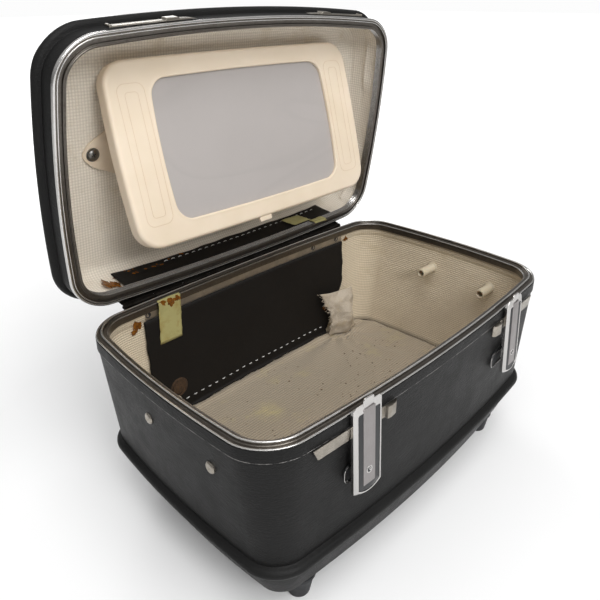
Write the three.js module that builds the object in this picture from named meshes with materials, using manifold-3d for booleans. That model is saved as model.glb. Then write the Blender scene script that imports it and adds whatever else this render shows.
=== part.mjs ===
// A hard-shell makeup train case, standing open: millimetres, +Z up, +Y towards the hinge.
// Base pieces are drawn round the centre of the base rim, with the rim plane at z = 0.
// Lid pieces are drawn as they lie on the closed case, and the lid group then swings them open.

import * as THREE from 'three';
import { mergeVertices } from 'three/addons/utils/BufferGeometryUtils.js';
import Module from 'manifold-3d';

const wasm = await Module();
wasm.setup();

// ---------------------------------------------------------------- driving dimensions

const HALF_WIDTH = 195;
const HALF_DEPTH = 120.5;
const CORNER_RADIUS = 33;
const BOW_FRONT = 10; // how far the front swells between its corners
const BOW_BACK = 5;
const BOW_SIDE = 7;

const SKIN = 3.5; // moulded shell thickness
const GAP = 0.3; // clearance between neighbouring pieces
const LINING = 1.5;

const COLLAR_HEIGHT = 11;
const WALL_FOOT = -110; // where the straight body wall meets the bumper bead
const BEAD_HEIGHT = 8.6;
const BEAD_REACH = 4.6;
const TAPER_SIDE = 10.9; // how far each end leans in between the rim and the bead
const TAPER_FRONT = 4;
const FOOT_CORNER_RADIUS = 24; // body corner radius at the bead
const PAN_BOTTOM = -152;
const PAN_LEDGE = -133.4; // carries the floor board
const FLOOR_TOP = -127.6;
const FOOT_HEIGHT = 22;

const LID_WALL = 20.5; // lid wall height, rim to bead
const LID_LEAN = 1;
const LID_TOP = 50;
const LID_DOME = 1.5;

const HINGE_Y = 124.3;
const HINGE_Z = -1.1;
const OPEN_ANGLE = THREE.MathUtils.degToRad(82.2);
const HINGE_HALF_LENGTH = 149;

const LATCH_X = 104.2;
const LEVER_LEAN = THREE.MathUtils.degToRad(2.8);
const LATCH_PIVOT = { y: -4, z: -14 }; // from the wall face behind the lever

const PEG_Y = [-58.5, 15];
const PEG_Z = -35.5;
const PEG_TIP = 163.5;

const MIRROR_PIVOT = { y: -9.2, z: 13.6 }; // in the closed lid
const MIRROR_TILT = THREE.MathUtils.degToRad(22.7);
const MIRROR_SET_BACK = 17; // pivot behind the mirror frame's front face
const BRACKET_X = 118.2;

const HANDLE_AXIS_Z = 60;
const HANDLE_POST_X = 62;

// ---------------------------------------------------------------- materials

const LOOKS = {
  shell: { color: 0x34383c, roughness: 0.5, metalness: 0 },
  rubber: { color: 0x17181a, roughness: 0.8, metalness: 0 },
  rim: { color: 0xa8a49c, roughness: 0.3, metalness: 0.9 },
  chrome: { color: 0xd4d4d6, roughness: 0.15, metalness: 1 },
  nickel: { color: 0xb5ab97, roughness: 0.35, metalness: 0.9 },
  brushed: { color: 0xa9a3a0, roughness: 0.4, metalness: 0.9 },
  inlay: { color: 0x3a3c3e, roughness: 0.5, metalness: 0 },
  lining: { color: 0xcfc3a8, roughness: 0.95, metalness: 0 },
  cream: { color: 0xefe2cb, roughness: 0.5, metalness: 0 },
  peg: { color: 0xcdbb97, roughness: 0.5, metalness: 0 },
  board: { color: 0x2b2926, roughness: 0.8, metalness: 0 },
  glass: { color: 0xc9c6c6, roughness: 0.05, metalness: 1 },
  tape: { color: 0xd8d18a, roughness: 0.8, metalness: 0 },
  steel: { color: 0x6d6e6c, roughness: 0.4, metalness: 0.9 },
};

function piece(name, geometry, look) {
  const mesh = new THREE.Mesh(geometry, new THREE.MeshStandardMaterial(LOOKS[look]));
  mesh.name = name;
  return mesh;
}

// ---------------------------------------------------------------- solids

// Joins and cuts need a mesh whose shared corners are merged.
function solid(geometry) {
  const bare = geometry.clone();
  bare.deleteAttribute('normal');
  bare.deleteAttribute('uv');
  const merged = mergeVertices(bare, 1e-4);
  return new wasm.Manifold(
    new wasm.Mesh({
      numProp: 3,
      vertProperties: new Float32Array(merged.attributes.position.array),
      triVerts: new Uint32Array(merged.index.array),
    }),
  );
}

function geometryOf(manifold) {
  const mesh = manifold.getMesh();
  const geometry = new THREE.BufferGeometry();
  geometry.setAttribute('position', new THREE.BufferAttribute(mesh.vertProperties, 3));
  geometry.setIndex(new THREE.BufferAttribute(mesh.triVerts, 1));
  geometry.computeVertexNormals();
  return geometry;
}

function join(first, ...others) {
  return geometryOf(others.reduce((whole, next) => whole.add(solid(next)), solid(first)));
}

function cut(body, ...tools) {
  return geometryOf(tools.reduce((rest, tool) => rest.subtract(solid(tool)), solid(body)));
}

function box(x0, x1, y0, y1, z0, z1) {
  return new THREE.BoxGeometry(x1 - x0, y1 - y0, z1 - z0)
    .translate((x0 + x1) / 2, (y0 + y1) / 2, (z0 + z1) / 2);
}

// A rod of the given radius along X, Y or Z.
function rod(axis, radius, from, to, a, b, segments = 20) {
  const geometry = new THREE.CylinderGeometry(radius, radius, to - from, segments);
  const middle = (from + to) / 2;
  if (axis === 'x') return geometry.rotateZ(Math.PI / 2).translate(middle, a, b);
  if (axis === 'y') return geometry.translate(a, middle, b);
  return geometry.rotateX(Math.PI / 2).translate(a, b, middle);
}

// A flat plate cut from a shape drawn in X and Z, between two Y planes.
function uprightPlate(shape, y0, y1, curveSegments = 8) {
  return new THREE.ExtrudeGeometry(shape, { depth: y1 - y0, bevelEnabled: false, curveSegments })
    .rotateX(Math.PI / 2)
    .translate(0, y1, 0);
}

// A flat plate cut from a shape drawn in X and Y, between two Z planes.
function levelPlate(shape, z0, z1, curveSegments = 8) {
  return new THREE.ExtrudeGeometry(shape, { depth: z1 - z0, bevelEnabled: false, curveSegments })
    .translate(0, 0, z0);
}

function roundedShape(x0, x1, y0, y1, radius) {
  const shape = new THREE.Shape();
  shape.moveTo(x0 + radius, y0);
  shape.lineTo(x1 - radius, y0);
  shape.absarc(x1 - radius, y0 + radius, radius, -Math.PI / 2, 0);
  shape.lineTo(x1, y1 - radius);
  shape.absarc(x1 - radius, y1 - radius, radius, 0, Math.PI / 2);
  shape.lineTo(x0 + radius, y1);
  shape.absarc(x0 + radius, y1 - radius, radius, Math.PI / 2, Math.PI);
  shape.lineTo(x0, y0 + radius);
  shape.absarc(x0 + radius, y0 + radius, radius, Math.PI, Math.PI * 1.5);
  return shape;
}

// ---------------------------------------------------------------- lofted outlines

const CORNER_STEPS = 5;
const LONG_STEPS = 6;
const SHORT_STEPS = 2;

// One level loop of a rounded rectangle whose sides swell outwards between the corners.
function loop(halfX, halfY, radius, z, bow) {
  const points = [];
  const corners = [
    { x: halfX - radius, y: halfY - radius, turn: 0, steps: LONG_STEPS },
    { x: radius - halfX, y: halfY - radius, turn: 1, steps: SHORT_STEPS },
    { x: radius - halfX, y: radius - halfY, turn: 2, steps: LONG_STEPS },
    { x: halfX - radius, y: radius - halfY, turn: 3, steps: SHORT_STEPS },
  ];
  corners.forEach((corner, index) => {
    const arc = [];
    for (let step = 0; step <= CORNER_STEPS; step += 1) {
      const angle = (corner.turn + step / CORNER_STEPS) * (Math.PI / 2);
      arc.push([corner.x + radius * Math.cos(angle), corner.y + radius * Math.sin(angle)]);
    }
    points.push(...arc);
    const next = corners[(index + 1) % corners.length];
    const nextAngle = next.turn * (Math.PI / 2);
    const end = [next.x + radius * Math.cos(nextAngle), next.y + radius * Math.sin(nextAngle)];
    const start = arc[arc.length - 1];
    for (let step = 1; step < corner.steps; step += 1) {
      const part = step / corner.steps;
      points.push([
        THREE.MathUtils.lerp(start[0], end[0], part),
        THREE.MathUtils.lerp(start[1], end[1], part),
      ]);
    }
  });
  return points.map(([x, y]) => {
    const swell = y > 0 ? bow.back : bow.front;
    return new THREE.Vector3(
      x - (x / halfX) * bow.side * (y / halfY) ** 2,
      y - (y / halfY) * swell * (x / halfX) ** 2,
      z,
    );
  });
}

// Skins a list of loops. A closed list makes a ring; an open one is capped at both ends,
// and each cap's middle can stand off its loop by a dome height.
function loft(loops, { closed = false, domes = [0, 0] } = {}) {
  const count = loops[0].length;
  const vertices = loops.flat();
  const indices = [];
  const bands = closed ? loops.length : loops.length - 1;
  for (let band = 0; band < bands; band += 1) {
    const low = band * count;
    const high = ((band + 1) % loops.length) * count;
    for (let i = 0; i < count; i += 1) {
      const j = (i + 1) % count;
      indices.push(low + i, low + j, high + j, low + i, high + j, high + i);
    }
  }
  if (!closed) {
    [0, loops.length - 1].forEach((which, end) => {
      const hub = vertices.length;
      vertices.push(new THREE.Vector3(0, 0, loops[which][0].z + domes[end]));
      for (let i = 0; i < count; i += 1) {
        const a = which * count + i;
        const b = which * count + ((i + 1) % count);
        indices.push(...(end === 0 ? [hub, b, a] : [hub, a, b]));
      }
    });
  }
  const geometry = new THREE.BufferGeometry().setFromPoints(vertices);
  geometry.setIndex(volumeOf(vertices, indices) < 0 ? indices.reverse() : indices);
  return geometry;
}

function volumeOf(vertices, indices) {
  let sum = 0;
  for (let i = 0; i < indices.length; i += 3) {
    const [a, b, c] = [vertices[indices[i]], vertices[indices[i + 1]], vertices[indices[i + 2]]];
    sum += a.dot(new THREE.Vector3().crossVectors(b, c));
  }
  return sum / 6;
}

// ---------------------------------------------------------------- the case's walls

const CASE_BOW = { front: BOW_FRONT, back: BOW_BACK, side: BOW_SIDE };

// How far the body wall has leaned in at a height, and the corner radius there.
function bodyLean(z) {
  const part = THREE.MathUtils.clamp((-COLLAR_HEIGHT - z) / (-COLLAR_HEIGHT - WALL_FOOT), 0, 1);
  return {
    x: -TAPER_SIDE * part,
    y: -TAPER_FRONT * part,
    radius: THREE.MathUtils.lerp(CORNER_RADIUS, FOOT_CORNER_RADIUS, part),
  };
}

function lidLean(z) {
  const out = LID_LEAN * THREE.MathUtils.clamp(z / LID_WALL, 0, 1);
  return { x: out, y: out, radius: CORNER_RADIUS };
}

// A loop that stands `out` from the wall at height z.
function wallLoop(lean, out, z) {
  const { x, y, radius } = lean(z);
  const corner = Math.max(radius + out, 6);
  return loop(HALF_WIDTH + x + out, HALF_DEPTH + y + out, corner, z, CASE_BOW);
}

function wallLoft(lean, profile, options) {
  return loft(profile.map(([out, z]) => wallLoop(lean, out, z)), options);
}

// Y of the front or back wall at a point along X, `out` from its face.
function wallY(lean, side, x, out, z) {
  const halfX = HALF_WIDTH + lean(z).x + out;
  const halfY = HALF_DEPTH + lean(z).y + out;
  const swell = side < 0 ? BOW_FRONT : BOW_BACK;
  return side * (halfY - swell * (x / halfX) ** 2);
}

// X of an end wall, `out` from its face, measured on the right-hand side.
function wallX(lean, y, out, z) {
  const halfX = HALF_WIDTH + lean(z).x + out;
  const halfY = HALF_DEPTH + lean(z).y + out;
  return halfX - BOW_SIDE * (y / halfY) ** 2;
}

// A thin plate that follows the front or back wall between two X positions and two heights.
function wallPatch(lean, side, [x0, x1], [z0, z1], [out0, out1], steps = 6) {
  const loops = [];
  for (let step = 0; step <= steps; step += 1) {
    const x = THREE.MathUtils.lerp(x0, x1, step / steps);
    loops.push([
      new THREE.Vector3(x, wallY(lean, side, x, out0, z0), z0),
      new THREE.Vector3(x, wallY(lean, side, x, out1, z0), z0),
      new THREE.Vector3(x, wallY(lean, side, x, out1, z1), z1),
      new THREE.Vector3(x, wallY(lean, side, x, out0, z1), z1),
    ]);
  }
  const vertices = loops.flat();
  const indices = [];
  for (let step = 0; step < steps; step += 1) {
    for (let i = 0; i < 4; i += 1) {
      const a = step * 4 + i;
      const b = step * 4 + ((i + 1) % 4);
      indices.push(a, b, b + 4, a, b + 4, a + 4);
    }
  }
  const last = steps * 4;
  indices.push(0, 2, 1, 0, 3, 2, last, last + 1, last + 2, last, last + 2, last + 3);
  const geometry = new THREE.BufferGeometry().setFromPoints(vertices);
  geometry.setIndex(volumeOf(vertices, indices) < 0 ? indices.reverse() : indices);
  return geometry;
}

// ---------------------------------------------------------------- base

const pegPlaces = [-1, 1].flatMap((side) => PEG_Y.map((y) => ({
  side,
  y,
  label: `${side < 0 ? 'left' : 'right'}_${y < 0 ? 'front' : 'rear'}`,
})));

const RIVET_SHANK = 2.3;
const RIVET_HOLE = 2.6;
const PEG_SEAT = 2.3; // a flat face stands this far off the swelling end wall

function pegHoles() {
  return pegPlaces.map(({ side, y }) => {
    const ends = [side * (HALF_WIDTH + 8), side * (HALF_WIDTH - 22)].sort((a, b) => a - b);
    return rod('x', RIVET_HOLE, ends[0], ends[1], y, PEG_Z);
  });
}

// A half-round bumper bead between two heights, as profile points from one end to the other.
function bead(zStart, zEnd, steps = 4) {
  const points = [];
  for (let step = 0; step <= steps; step += 1) {
    const angle = (step / steps) * Math.PI;
    const middle = (zStart + zEnd) / 2;
    points.push([
      BEAD_REACH * Math.sin(angle),
      middle + ((zStart - zEnd) / 2) * Math.cos(angle),
    ]);
  }
  return points;
}

const SHELL_TOP = -1.2;
const SHELL_FOOT = WALL_FOOT - BEAD_HEIGHT;

function baseShell() {
  const profile = [
    [-SKIN, SHELL_TOP],
    [1, SHELL_TOP],
    [1, -COLLAR_HEIGHT],
    [0, -COLLAR_HEIGHT - 0.8],
    [0, WALL_FOOT + 5],
    [-0.6, WALL_FOOT + 1.5],
    ...bead(WALL_FOOT, SHELL_FOOT),
    [-SKIN, SHELL_FOOT],
    [-SKIN, WALL_FOOT],
    [-SKIN, -COLLAR_HEIGHT],
  ];
  return cut(wallLoft(bodyLean, profile, { closed: true }), ...pegHoles());
}

// The pan under the bead draws in further at its ends than at its front and back.
function panLoop([outX, outY, z]) {
  const { x, y, radius } = bodyLean(z);
  const corner = radius + (outX + outY) * 0.35;
  return loop(HALF_WIDTH + x + outX, HALF_DEPTH + y + outY, corner, z, CASE_BOW);
}

function bottomPan() {
  const top = SHELL_FOOT - GAP;
  const inside = [
    [-22, PAN_BOTTOM + 2.8],
    [-17.5, PAN_BOTTOM + 3.6],
    [-13.5, -142],
    [-11.2, PAN_LEDGE - 1],
    [-11.2, PAN_LEDGE],
    [-7.4, PAN_LEDGE],
    [-3.3, top],
  ].map(([out, z]) => wallLoop(bodyLean, out, z));
  const outside = [
    [-0.4, -0.4, top],
    [-2.2, -1.8, -125],
    [-4.4, -3.2, -131],
    [-7.5, -5, -138],
    [-11, -7.6, -145],
    [-14, -9.6, PAN_BOTTOM + 2.5],
    [-16, -10.8, PAN_BOTTOM + 0.6],
    [-19, -13, PAN_BOTTOM],
  ].map(panLoop);
  return loft([...inside, ...outside]);
}

const FEET = [-1, 1].flatMap((sideX) => [-1, 1].map((sideY) => ({
  name: `foot_${sideY < 0 ? 'front' : 'rear'}_${sideX < 0 ? 'left' : 'right'}`,
  x: sideX * 135,
  y: sideY * 86,
})));
const FOOT_TOP_RADIUS = 14;
const FOOT_TIP_RADIUS = 9;

function foot({ x, y }) {
  const top = PAN_BOTTOM - GAP;
  const tip = PAN_BOTTOM - FOOT_HEIGHT;
  const profile = [
    new THREE.Vector2(0, tip),
    new THREE.Vector2(FOOT_TIP_RADIUS - 1.5, tip),
    new THREE.Vector2(FOOT_TIP_RADIUS, tip + 1.5),
    new THREE.Vector2(FOOT_TOP_RADIUS - 2, top - 4),
    new THREE.Vector2(FOOT_TOP_RADIUS, top - 2.5),
    new THREE.Vector2(FOOT_TOP_RADIUS, top),
    new THREE.Vector2(0, top),
  ];
  return new THREE.LatheGeometry(profile, 24).rotateX(Math.PI / 2).translate(x, y, 0);
}

const LINING_OUT = -SKIN - GAP;
const LINING_IN = LINING_OUT - LINING;

function baseLining() {
  const foot = FLOOR_TOP - 1.4;
  const profile = [
    [LINING_OUT, SHELL_TOP - GAP],
    [LINING_OUT, -COLLAR_HEIGHT],
    [LINING_OUT, WALL_FOOT],
    [LINING_OUT - 3, foot],
    [LINING_IN - 3, foot],
    [LINING_IN, WALL_FOOT],
    [LINING_IN, -COLLAR_HEIGHT],
    [LINING_IN, SHELL_TOP - GAP],
  ];
  return cut(wallLoft(bodyLean, profile, { closed: true }), ...pegHoles());
}

function floorSheet(out, z0, z1) {
  return wallLoft(bodyLean, [[out, z0], [out, z1]]);
}

// The base rim is a thin channel with a flat outer land and an upstanding tongue.
function baseRimFrame() {
  const under = SHELL_TOP + GAP;
  const profile = [
    [0.4, under],
    [0.7, -0.5],
    [0.2, 0],
    [-2.6, 0],
    [-3.4, 0.2],
    [-3.4, 2.2],
    [-3.8, 2.6],
    [-4.6, 2.6],
    [-5, 2.2],
    [-5, 0.2],
    [-8.4, -0.2],
    [-9, -0.9],
    [-9, -7],
    [-8.3, -7],
    [-8.3, under],
  ];
  return wallLoft(bodyLean, profile, { closed: true });
}

function trayPeg({ side, y }) {
  const root = wallX(bodyLean, y, LINING_IN, PEG_Z) - PEG_SEAT;
  const profile = [
    new THREE.Vector2(3, 0),
    new THREE.Vector2(6.4, 0),
    new THREE.Vector2(6.4, 1.2),
    new THREE.Vector2(5.2, 2),
    new THREE.Vector2(5.2, root - PEG_TIP - 0.6),
    new THREE.Vector2(4.6, root - PEG_TIP),
    new THREE.Vector2(3, root - PEG_TIP),
    new THREE.Vector2(3, 0),
  ];
  return new THREE.LatheGeometry(profile, 24)
    .rotateZ((side * Math.PI) / 2)
    .translate(side * root, y, PEG_Z);
}

function pegRivet({ side, y }) {
  const face = wallX(bodyLean, y, 0, PEG_Z) + PEG_SEAT;
  const profile = [
    new THREE.Vector2(0, -16),
    new THREE.Vector2(RIVET_SHANK, -16),
    new THREE.Vector2(RIVET_SHANK, 0),
    new THREE.Vector2(4.7, 0),
    new THREE.Vector2(4.5, 0.9),
    new THREE.Vector2(3, 1.6),
    new THREE.Vector2(0, 1.9),
  ];
  return new THREE.LatheGeometry(profile, 20)
    .rotateZ((-side * Math.PI) / 2)
    .translate(side * face, y, PEG_Z);
}

// ---------------------------------------------------------------- hinge

const KNUCKLES = 9;
const KNUCKLE_RADIUS = 2.3;
const HINGE_PIN_RADIUS = 1.1;
const LEAF_Y = 122.1;
const LEAF_THICKNESS = 0.9;

// Every second knuckle belongs to one leaf. `up` is +1 for the lid's leaf, -1 for the base's.
function hingeLeaf(up, first, height) {
  const pitch = (2 * HINGE_HALF_LENGTH) / KNUCKLES;
  const near = HINGE_Z + up * 0.5;
  const far = HINGE_Z + up * height;
  let leaf = box(
    -HINGE_HALF_LENGTH, HINGE_HALF_LENGTH,
    LEAF_Y, LEAF_Y + LEAF_THICKNESS,
    Math.min(near, far), Math.max(near, far),
  );
  const knuckles = [];
  const slots = [];
  for (let k = 0; k < KNUCKLES; k += 1) {
    const x0 = -HINGE_HALF_LENGTH + k * pitch;
    if (k % 2 === first) {
      knuckles.push(rod('x', KNUCKLE_RADIUS, x0 + GAP, x0 + pitch - GAP, HINGE_Y, HINGE_Z, 12));
    } else {
      const reach = KNUCKLE_RADIUS + 0.5;
      slots.push(box(x0 - 0.1, x0 + pitch + 0.1, LEAF_Y - 1, HINGE_Y + 4,
        HINGE_Z - reach, HINGE_Z + reach));
    }
  }
  leaf = cut(join(leaf, ...knuckles), ...slots);
  const bore = HINGE_PIN_RADIUS + 0.15;
  const end = HINGE_HALF_LENGTH + 2;
  return cut(leaf, rod('x', bore, -end, end, HINGE_Y, HINGE_Z, 12));
}

function hingePin() {
  const end = HINGE_HALF_LENGTH + 0.5;
  return rod('x', HINGE_PIN_RADIUS, -end, end, HINGE_Y, HINGE_Z, 12);
}

// ---------------------------------------------------------------- latches

// Latch pieces are drawn round the wall face behind the lever: X along the wall away from the
// case's middle on the right side, Y into the case, Z up from the rim plane.
const LEVER_HALF = 14.2;
const LEVER_FACE = -3.1; // from the pivot
const LEVER_BACK = 1.4;
const LEVER_TOP = 17.4;
const LEVER_CORNER = -50.4;
const LEVER_FOOT = -54.6;
const HOOK_TOP = 24.5;
const LEVER_SHEET = 1.3;
const PIVOT_RADIUS = 0.8;
const PIVOT_BORE = 0.95;
const LOCK_Z = -35;
const LOCK_RADIUS = 3.2;
const STRIKER_RIGHT = 12.5;

// The lever's front outline: square at the top, a shallow curve at the foot.
function leverShape(inset) {
  const half = LEVER_HALF - inset;
  const shape = new THREE.Shape();
  shape.moveTo(-half, LEVER_TOP - inset);
  shape.lineTo(-half, LEVER_CORNER + inset * 0.6);
  shape.quadraticCurveTo(0, 2 * LEVER_FOOT - LEVER_CORNER + inset, half, LEVER_CORNER + inset * 0.6);
  shape.lineTo(half, LEVER_TOP - inset);
  return shape;
}

function leverCollar(y, inset) {
  return leverShape(inset).getPoints(10).map((point) => new THREE.Vector3(point.x, y, point.y));
}

// The lever is a shallow tray with chamfered edges, open towards the case, and a hook on top.
function latchLever() {
  const tray = loftAround([
    leverCollar(LEVER_BACK, 0),
    leverCollar(LEVER_FACE + 2.4, 0),
    leverCollar(LEVER_FACE, 2.2),
  ]);
  const hollow = loftAround([
    leverCollar(LEVER_BACK + 1, LEVER_SHEET),
    leverCollar(LEVER_FACE + 2.4, LEVER_SHEET),
    leverCollar(LEVER_FACE + LEVER_SHEET, 2.6),
  ]);
  const pocket = uprightPlate(leverShape(2.9), LEVER_FACE - 1, LEVER_FACE + 0.8);
  const hook = box(-5, 5, LEVER_FACE + 0.1, LEVER_FACE + 1.6, LEVER_TOP - 2, HOOK_TOP);
  const pin = rod('x', PIVOT_BORE, -LEVER_HALF - 1, LEVER_HALF + 1, 0, 0);
  const lock = rod('y', LOCK_RADIUS + GAP, LEVER_FACE - 2, LEVER_BACK + 2, 0, LOCK_Z);
  return cut(join(cut(tray, hollow, pocket), hook), pin, lock);
}

function loftAround(loops) {
  const count = loops[0].length;
  const vertices = loops.flat();
  const indices = [];
  for (let band = 0; band < loops.length - 1; band += 1) {
    for (let i = 0; i < count; i += 1) {
      const a = band * count + i;
      const b = band * count + ((i + 1) % count);
      indices.push(a, b, b + count, a, b + count, a + count);
    }
  }
  const faces = THREE.ShapeUtils.triangulateShape(
    loops[0].map((point) => new THREE.Vector2(point.x, point.z)),
    [],
  );
  const last = (loops.length - 1) * count;
  faces.forEach(([a, b, c]) => {
    indices.push(a, c, b, last + a, last + b, last + c);
  });
  const geometry = new THREE.BufferGeometry().setFromPoints(vertices);
  geometry.setIndex(volumeOf(vertices, indices) < 0 ? indices.reverse() : indices);
  return geometry;
}

const STRIPE_HALF = 6;
const STRIPE_FOOT = -46.5;

function leverStripe() {
  const plate = uprightPlate(
    roundedShape(-STRIPE_HALF, STRIPE_HALF, STRIPE_FOOT, LEVER_TOP - 3.4, 0.8),
    LEVER_FACE - 0.1, LEVER_FACE + 0.5, 3,
  );
  return cut(plate, rod('y', LOCK_RADIUS + GAP, LEVER_FACE - 2, LEVER_BACK + 2, 0, LOCK_Z));
}

// Two dark stripes that join below the brushed one.
function leverInlay() {
  const plate = uprightPlate(leverShape(3.2), LEVER_FACE + 0.1, LEVER_FACE + 0.5);
  const reach = STRIPE_HALF + GAP;
  return cut(plate, box(-reach, reach, LEVER_FACE - 1, LEVER_FACE + 2, STRIPE_FOOT - GAP, LEVER_TOP));
}

function lockCylinder() {
  const barrel = rod('y', LOCK_RADIUS, LEVER_FACE - 0.3, LEVER_BACK, 0, LOCK_Z, 24);
  const slot = box(-0.7, 0.7, LEVER_FACE - 1, LEVER_FACE + 1.6, LOCK_Z - 2.2, LOCK_Z + 1);
  const eye = rod('y', 1.3, LEVER_FACE - 1, LEVER_FACE + 1.6, 0, LOCK_Z + 1, 12);
  return cut(barrel, slot, eye);
}

// The nickel bracket: a long tab outwards, a flat bridge with two lugs, and a raised fold inwards.
function latchBracket(side) {
  const outline = [
    [-35, -1.3],
    [44, -1.3],
    [44, -2.1],
    [-22, -2.1],
    [-23, -5],
    [-29, -5],
    [-33.5, -2.6],
    [-35, -2.3],
  ];
  const shape = new THREE.Shape(outline.map(([u, y]) => new THREE.Vector2(side * u, y)));
  const strip = levelPlate(shape, -19.5, -10.5);
  const lugs = [-10.6, 9.2].map((x) => box(
    x, x + 1.4,
    LATCH_PIVOT.y - 1.5, -1.7,
    LATCH_PIVOT.z - 2.4, LATCH_PIVOT.z + 2.4,
  ));
  const bore = rod('x', PIVOT_BORE, -13, 13, LATCH_PIVOT.y, LATCH_PIVOT.z);
  return cut(join(strip, ...lugs), bore);
}

function latchPin() {
  return rod('x', PIVOT_RADIUS, -LEVER_HALF + 0.1, LEVER_HALF - 0.1, LATCH_PIVOT.y, LATCH_PIVOT.z, 16);
}

// A chrome plate on the wall behind the lock, dished round the lock's nose.
// The plate stands out past the lever's left edge on both latches, further on the right-hand one.
function strikerPlate(side) {
  const left = side < 0 ? -16.5 : -24.5;
  const plate = uprightPlate(roundedShape(left, STRIKER_RIGHT, -59.5, -44.5, 6), -0.6, 0.7, 4);
  return cut(plate, rod('y', LOCK_RADIUS + 1.8, -1, 0.1, 0, LATCH_PIVOT.z + LOCK_Z));
}

// Stands the latch pieces on the wall, and leans the lever out at its foot.
function addLatch(parent, side) {
  const label = side < 0 ? 'left' : 'right';
  const x = side * LATCH_X;
  const station = new THREE.Group();
  station.position.set(x, wallY(bodyLean, -1, x, 0, 0), 0);
  station.rotation.z = Math.atan((2 * BOW_FRONT * x) / HALF_WIDTH ** 2);
  station.add(
    piece(`latch_bracket_${label}`, latchBracket(side), 'nickel'),
    piece(`latch_pin_${label}`, latchPin(), 'steel'),
    piece(`striker_plate_${label}`, strikerPlate(side), 'chrome'),
  );
  const lever = new THREE.Group();
  lever.position.set(0, LATCH_PIVOT.y, LATCH_PIVOT.z);
  lever.rotation.x = -LEVER_LEAN;
  lever.add(
    piece(`latch_lever_${label}`, latchLever(), 'chrome'),
    piece(`lever_inlay_${label}`, leverInlay(), 'inlay'),
    piece(`lever_stripe_${label}`, leverStripe(), 'brushed'),
    piece(`lock_cylinder_${label}`, lockCylinder(), 'chrome'),
  );
  station.add(lever);
  parent.add(station);
}

// ---------------------------------------------------------------- lid

const LID_BEAD_TOP = LID_WALL + BEAD_HEIGHT;
const LID_RIM_UNDER = 0.4;
const LID_SHELL_EDGE = 4.2;

function lidShell() {
  const profile = [
    [-SKIN, LID_SHELL_EDGE],
    [0, LID_SHELL_EDGE],
    [0, LID_WALL - 3.5],
    [-0.6, LID_WALL - 1],
    ...bead(LID_WALL, LID_BEAD_TOP),
    [-SKIN, LID_BEAD_TOP],
  ];
  return wallLoft(lidLean, profile, { closed: true });
}

function lidTop() {
  const foot = LID_BEAD_TOP + GAP;
  const profile = [
    [-19, LID_TOP - 3],
    [-12, LID_TOP - 4.3],
    [-7, LID_TOP - 8.5],
    [-4.1, LID_TOP - 14.5],
    [-3.3, foot],
    [-0.4, foot],
    [-1, LID_TOP - 14],
    [-4.2, LID_TOP - 6.6],
    [-10, LID_TOP - 1.6],
    [-18, LID_TOP],
  ];
  return wallLoft(lidLean, profile, { domes: [LID_DOME, LID_DOME] });
}

function lidLining() {
  const top = LID_TOP - 3 - GAP;
  const edge = LID_SHELL_EDGE + GAP;
  const profile = [
    [-20, top - LINING],
    [-13.6, top - LINING - 1.4],
    [-9, top - LINING - 5.2],
    [-6.2, top - LINING - 10.6],
    [LINING_IN, LID_WALL + 6],
    [LINING_IN, edge],
    [LINING_OUT, edge],
    [LINING_OUT, LID_WALL + 6],
    [-4.6, top - 11.4],
    [-7.6, top - 5.6],
    [-12.7, top - 1.2],
    [-19.3, top],
  ];
  return wallLoft(lidLean, profile, { domes: [LID_DOME, LID_DOME] });
}

// The lid rim is a channel whose groove drops over the base rim's tongue.
function lidRimFrame() {
  const over = LID_SHELL_EDGE - GAP;
  const profile = [
    [0.6, over],
    [0.9, over - 0.8],
    [0.4, LID_RIM_UNDER],
    [-2.4, LID_RIM_UNDER],
    [-2.9, LID_RIM_UNDER + 0.5],
    [-2.9, 3],
    [-6.4, 3],
    [-6.4, 0.7],
    [-8.4, 0.7],
    [-9, 1.3],
    [-9, 9],
    [-8.2, 9],
    [-8.2, over],
  ];
  return wallLoft(lidLean, profile, { closed: true });
}

// A keeper on the lid's front wall: a strip with a raised block, pointed towards the middle.
function lidKeeper(side) {
  const outline = [
    [-36.5, -1.2],
    [40, -1.2],
    [40, -3.3],
    [-9.2, -3.3],
    [-9.2, -4.8],
    [-21.2, -4.8],
    [-21.2, -3],
    [-36.5, -1.9],
  ];
  const shape = new THREE.Shape(outline.map(([u, y]) => new THREE.Vector2(side * u, y)));
  const x = side * LATCH_X;
  return levelPlate(shape, 4.4, 12)
    .rotateZ(Math.atan((2 * BOW_FRONT * x) / HALF_WIDTH ** 2))
    .translate(x, wallY(lidLean, -1, x, 0, 0), 0);
}

// ---------------------------------------------------------------- mirror

const MIRROR_BOW = { front: 1.5, back: 1.5, side: 3 };
const MIRROR_HALF_X = 144.5;
const MIRROR_HALF_Y = 79.5;
const MIRROR_CORNER = 20;
const MIRROR_WALL = 12.6;
const GLASS_HALF_X = 104;
const GLASS_HALF_Y = 62;
const GLASS_CORNER = 15;
const LUG_X = 113.4;
const MIRROR_PIN_RADIUS = 1.5;

// Mirror pieces are drawn flat: Y towards the case's hinge, Z from the front face to the back.
function mirrorLoop(inset, z) {
  return loop(MIRROR_HALF_X - inset, MIRROR_HALF_Y - inset, MIRROR_CORNER - inset * 0.6, z, MIRROR_BOW);
}

function glassLoop(grow, z) {
  return loop(GLASS_HALF_X + grow, GLASS_HALF_Y + grow, GLASS_CORNER + grow, z, MIRROR_BOW);
}

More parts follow.
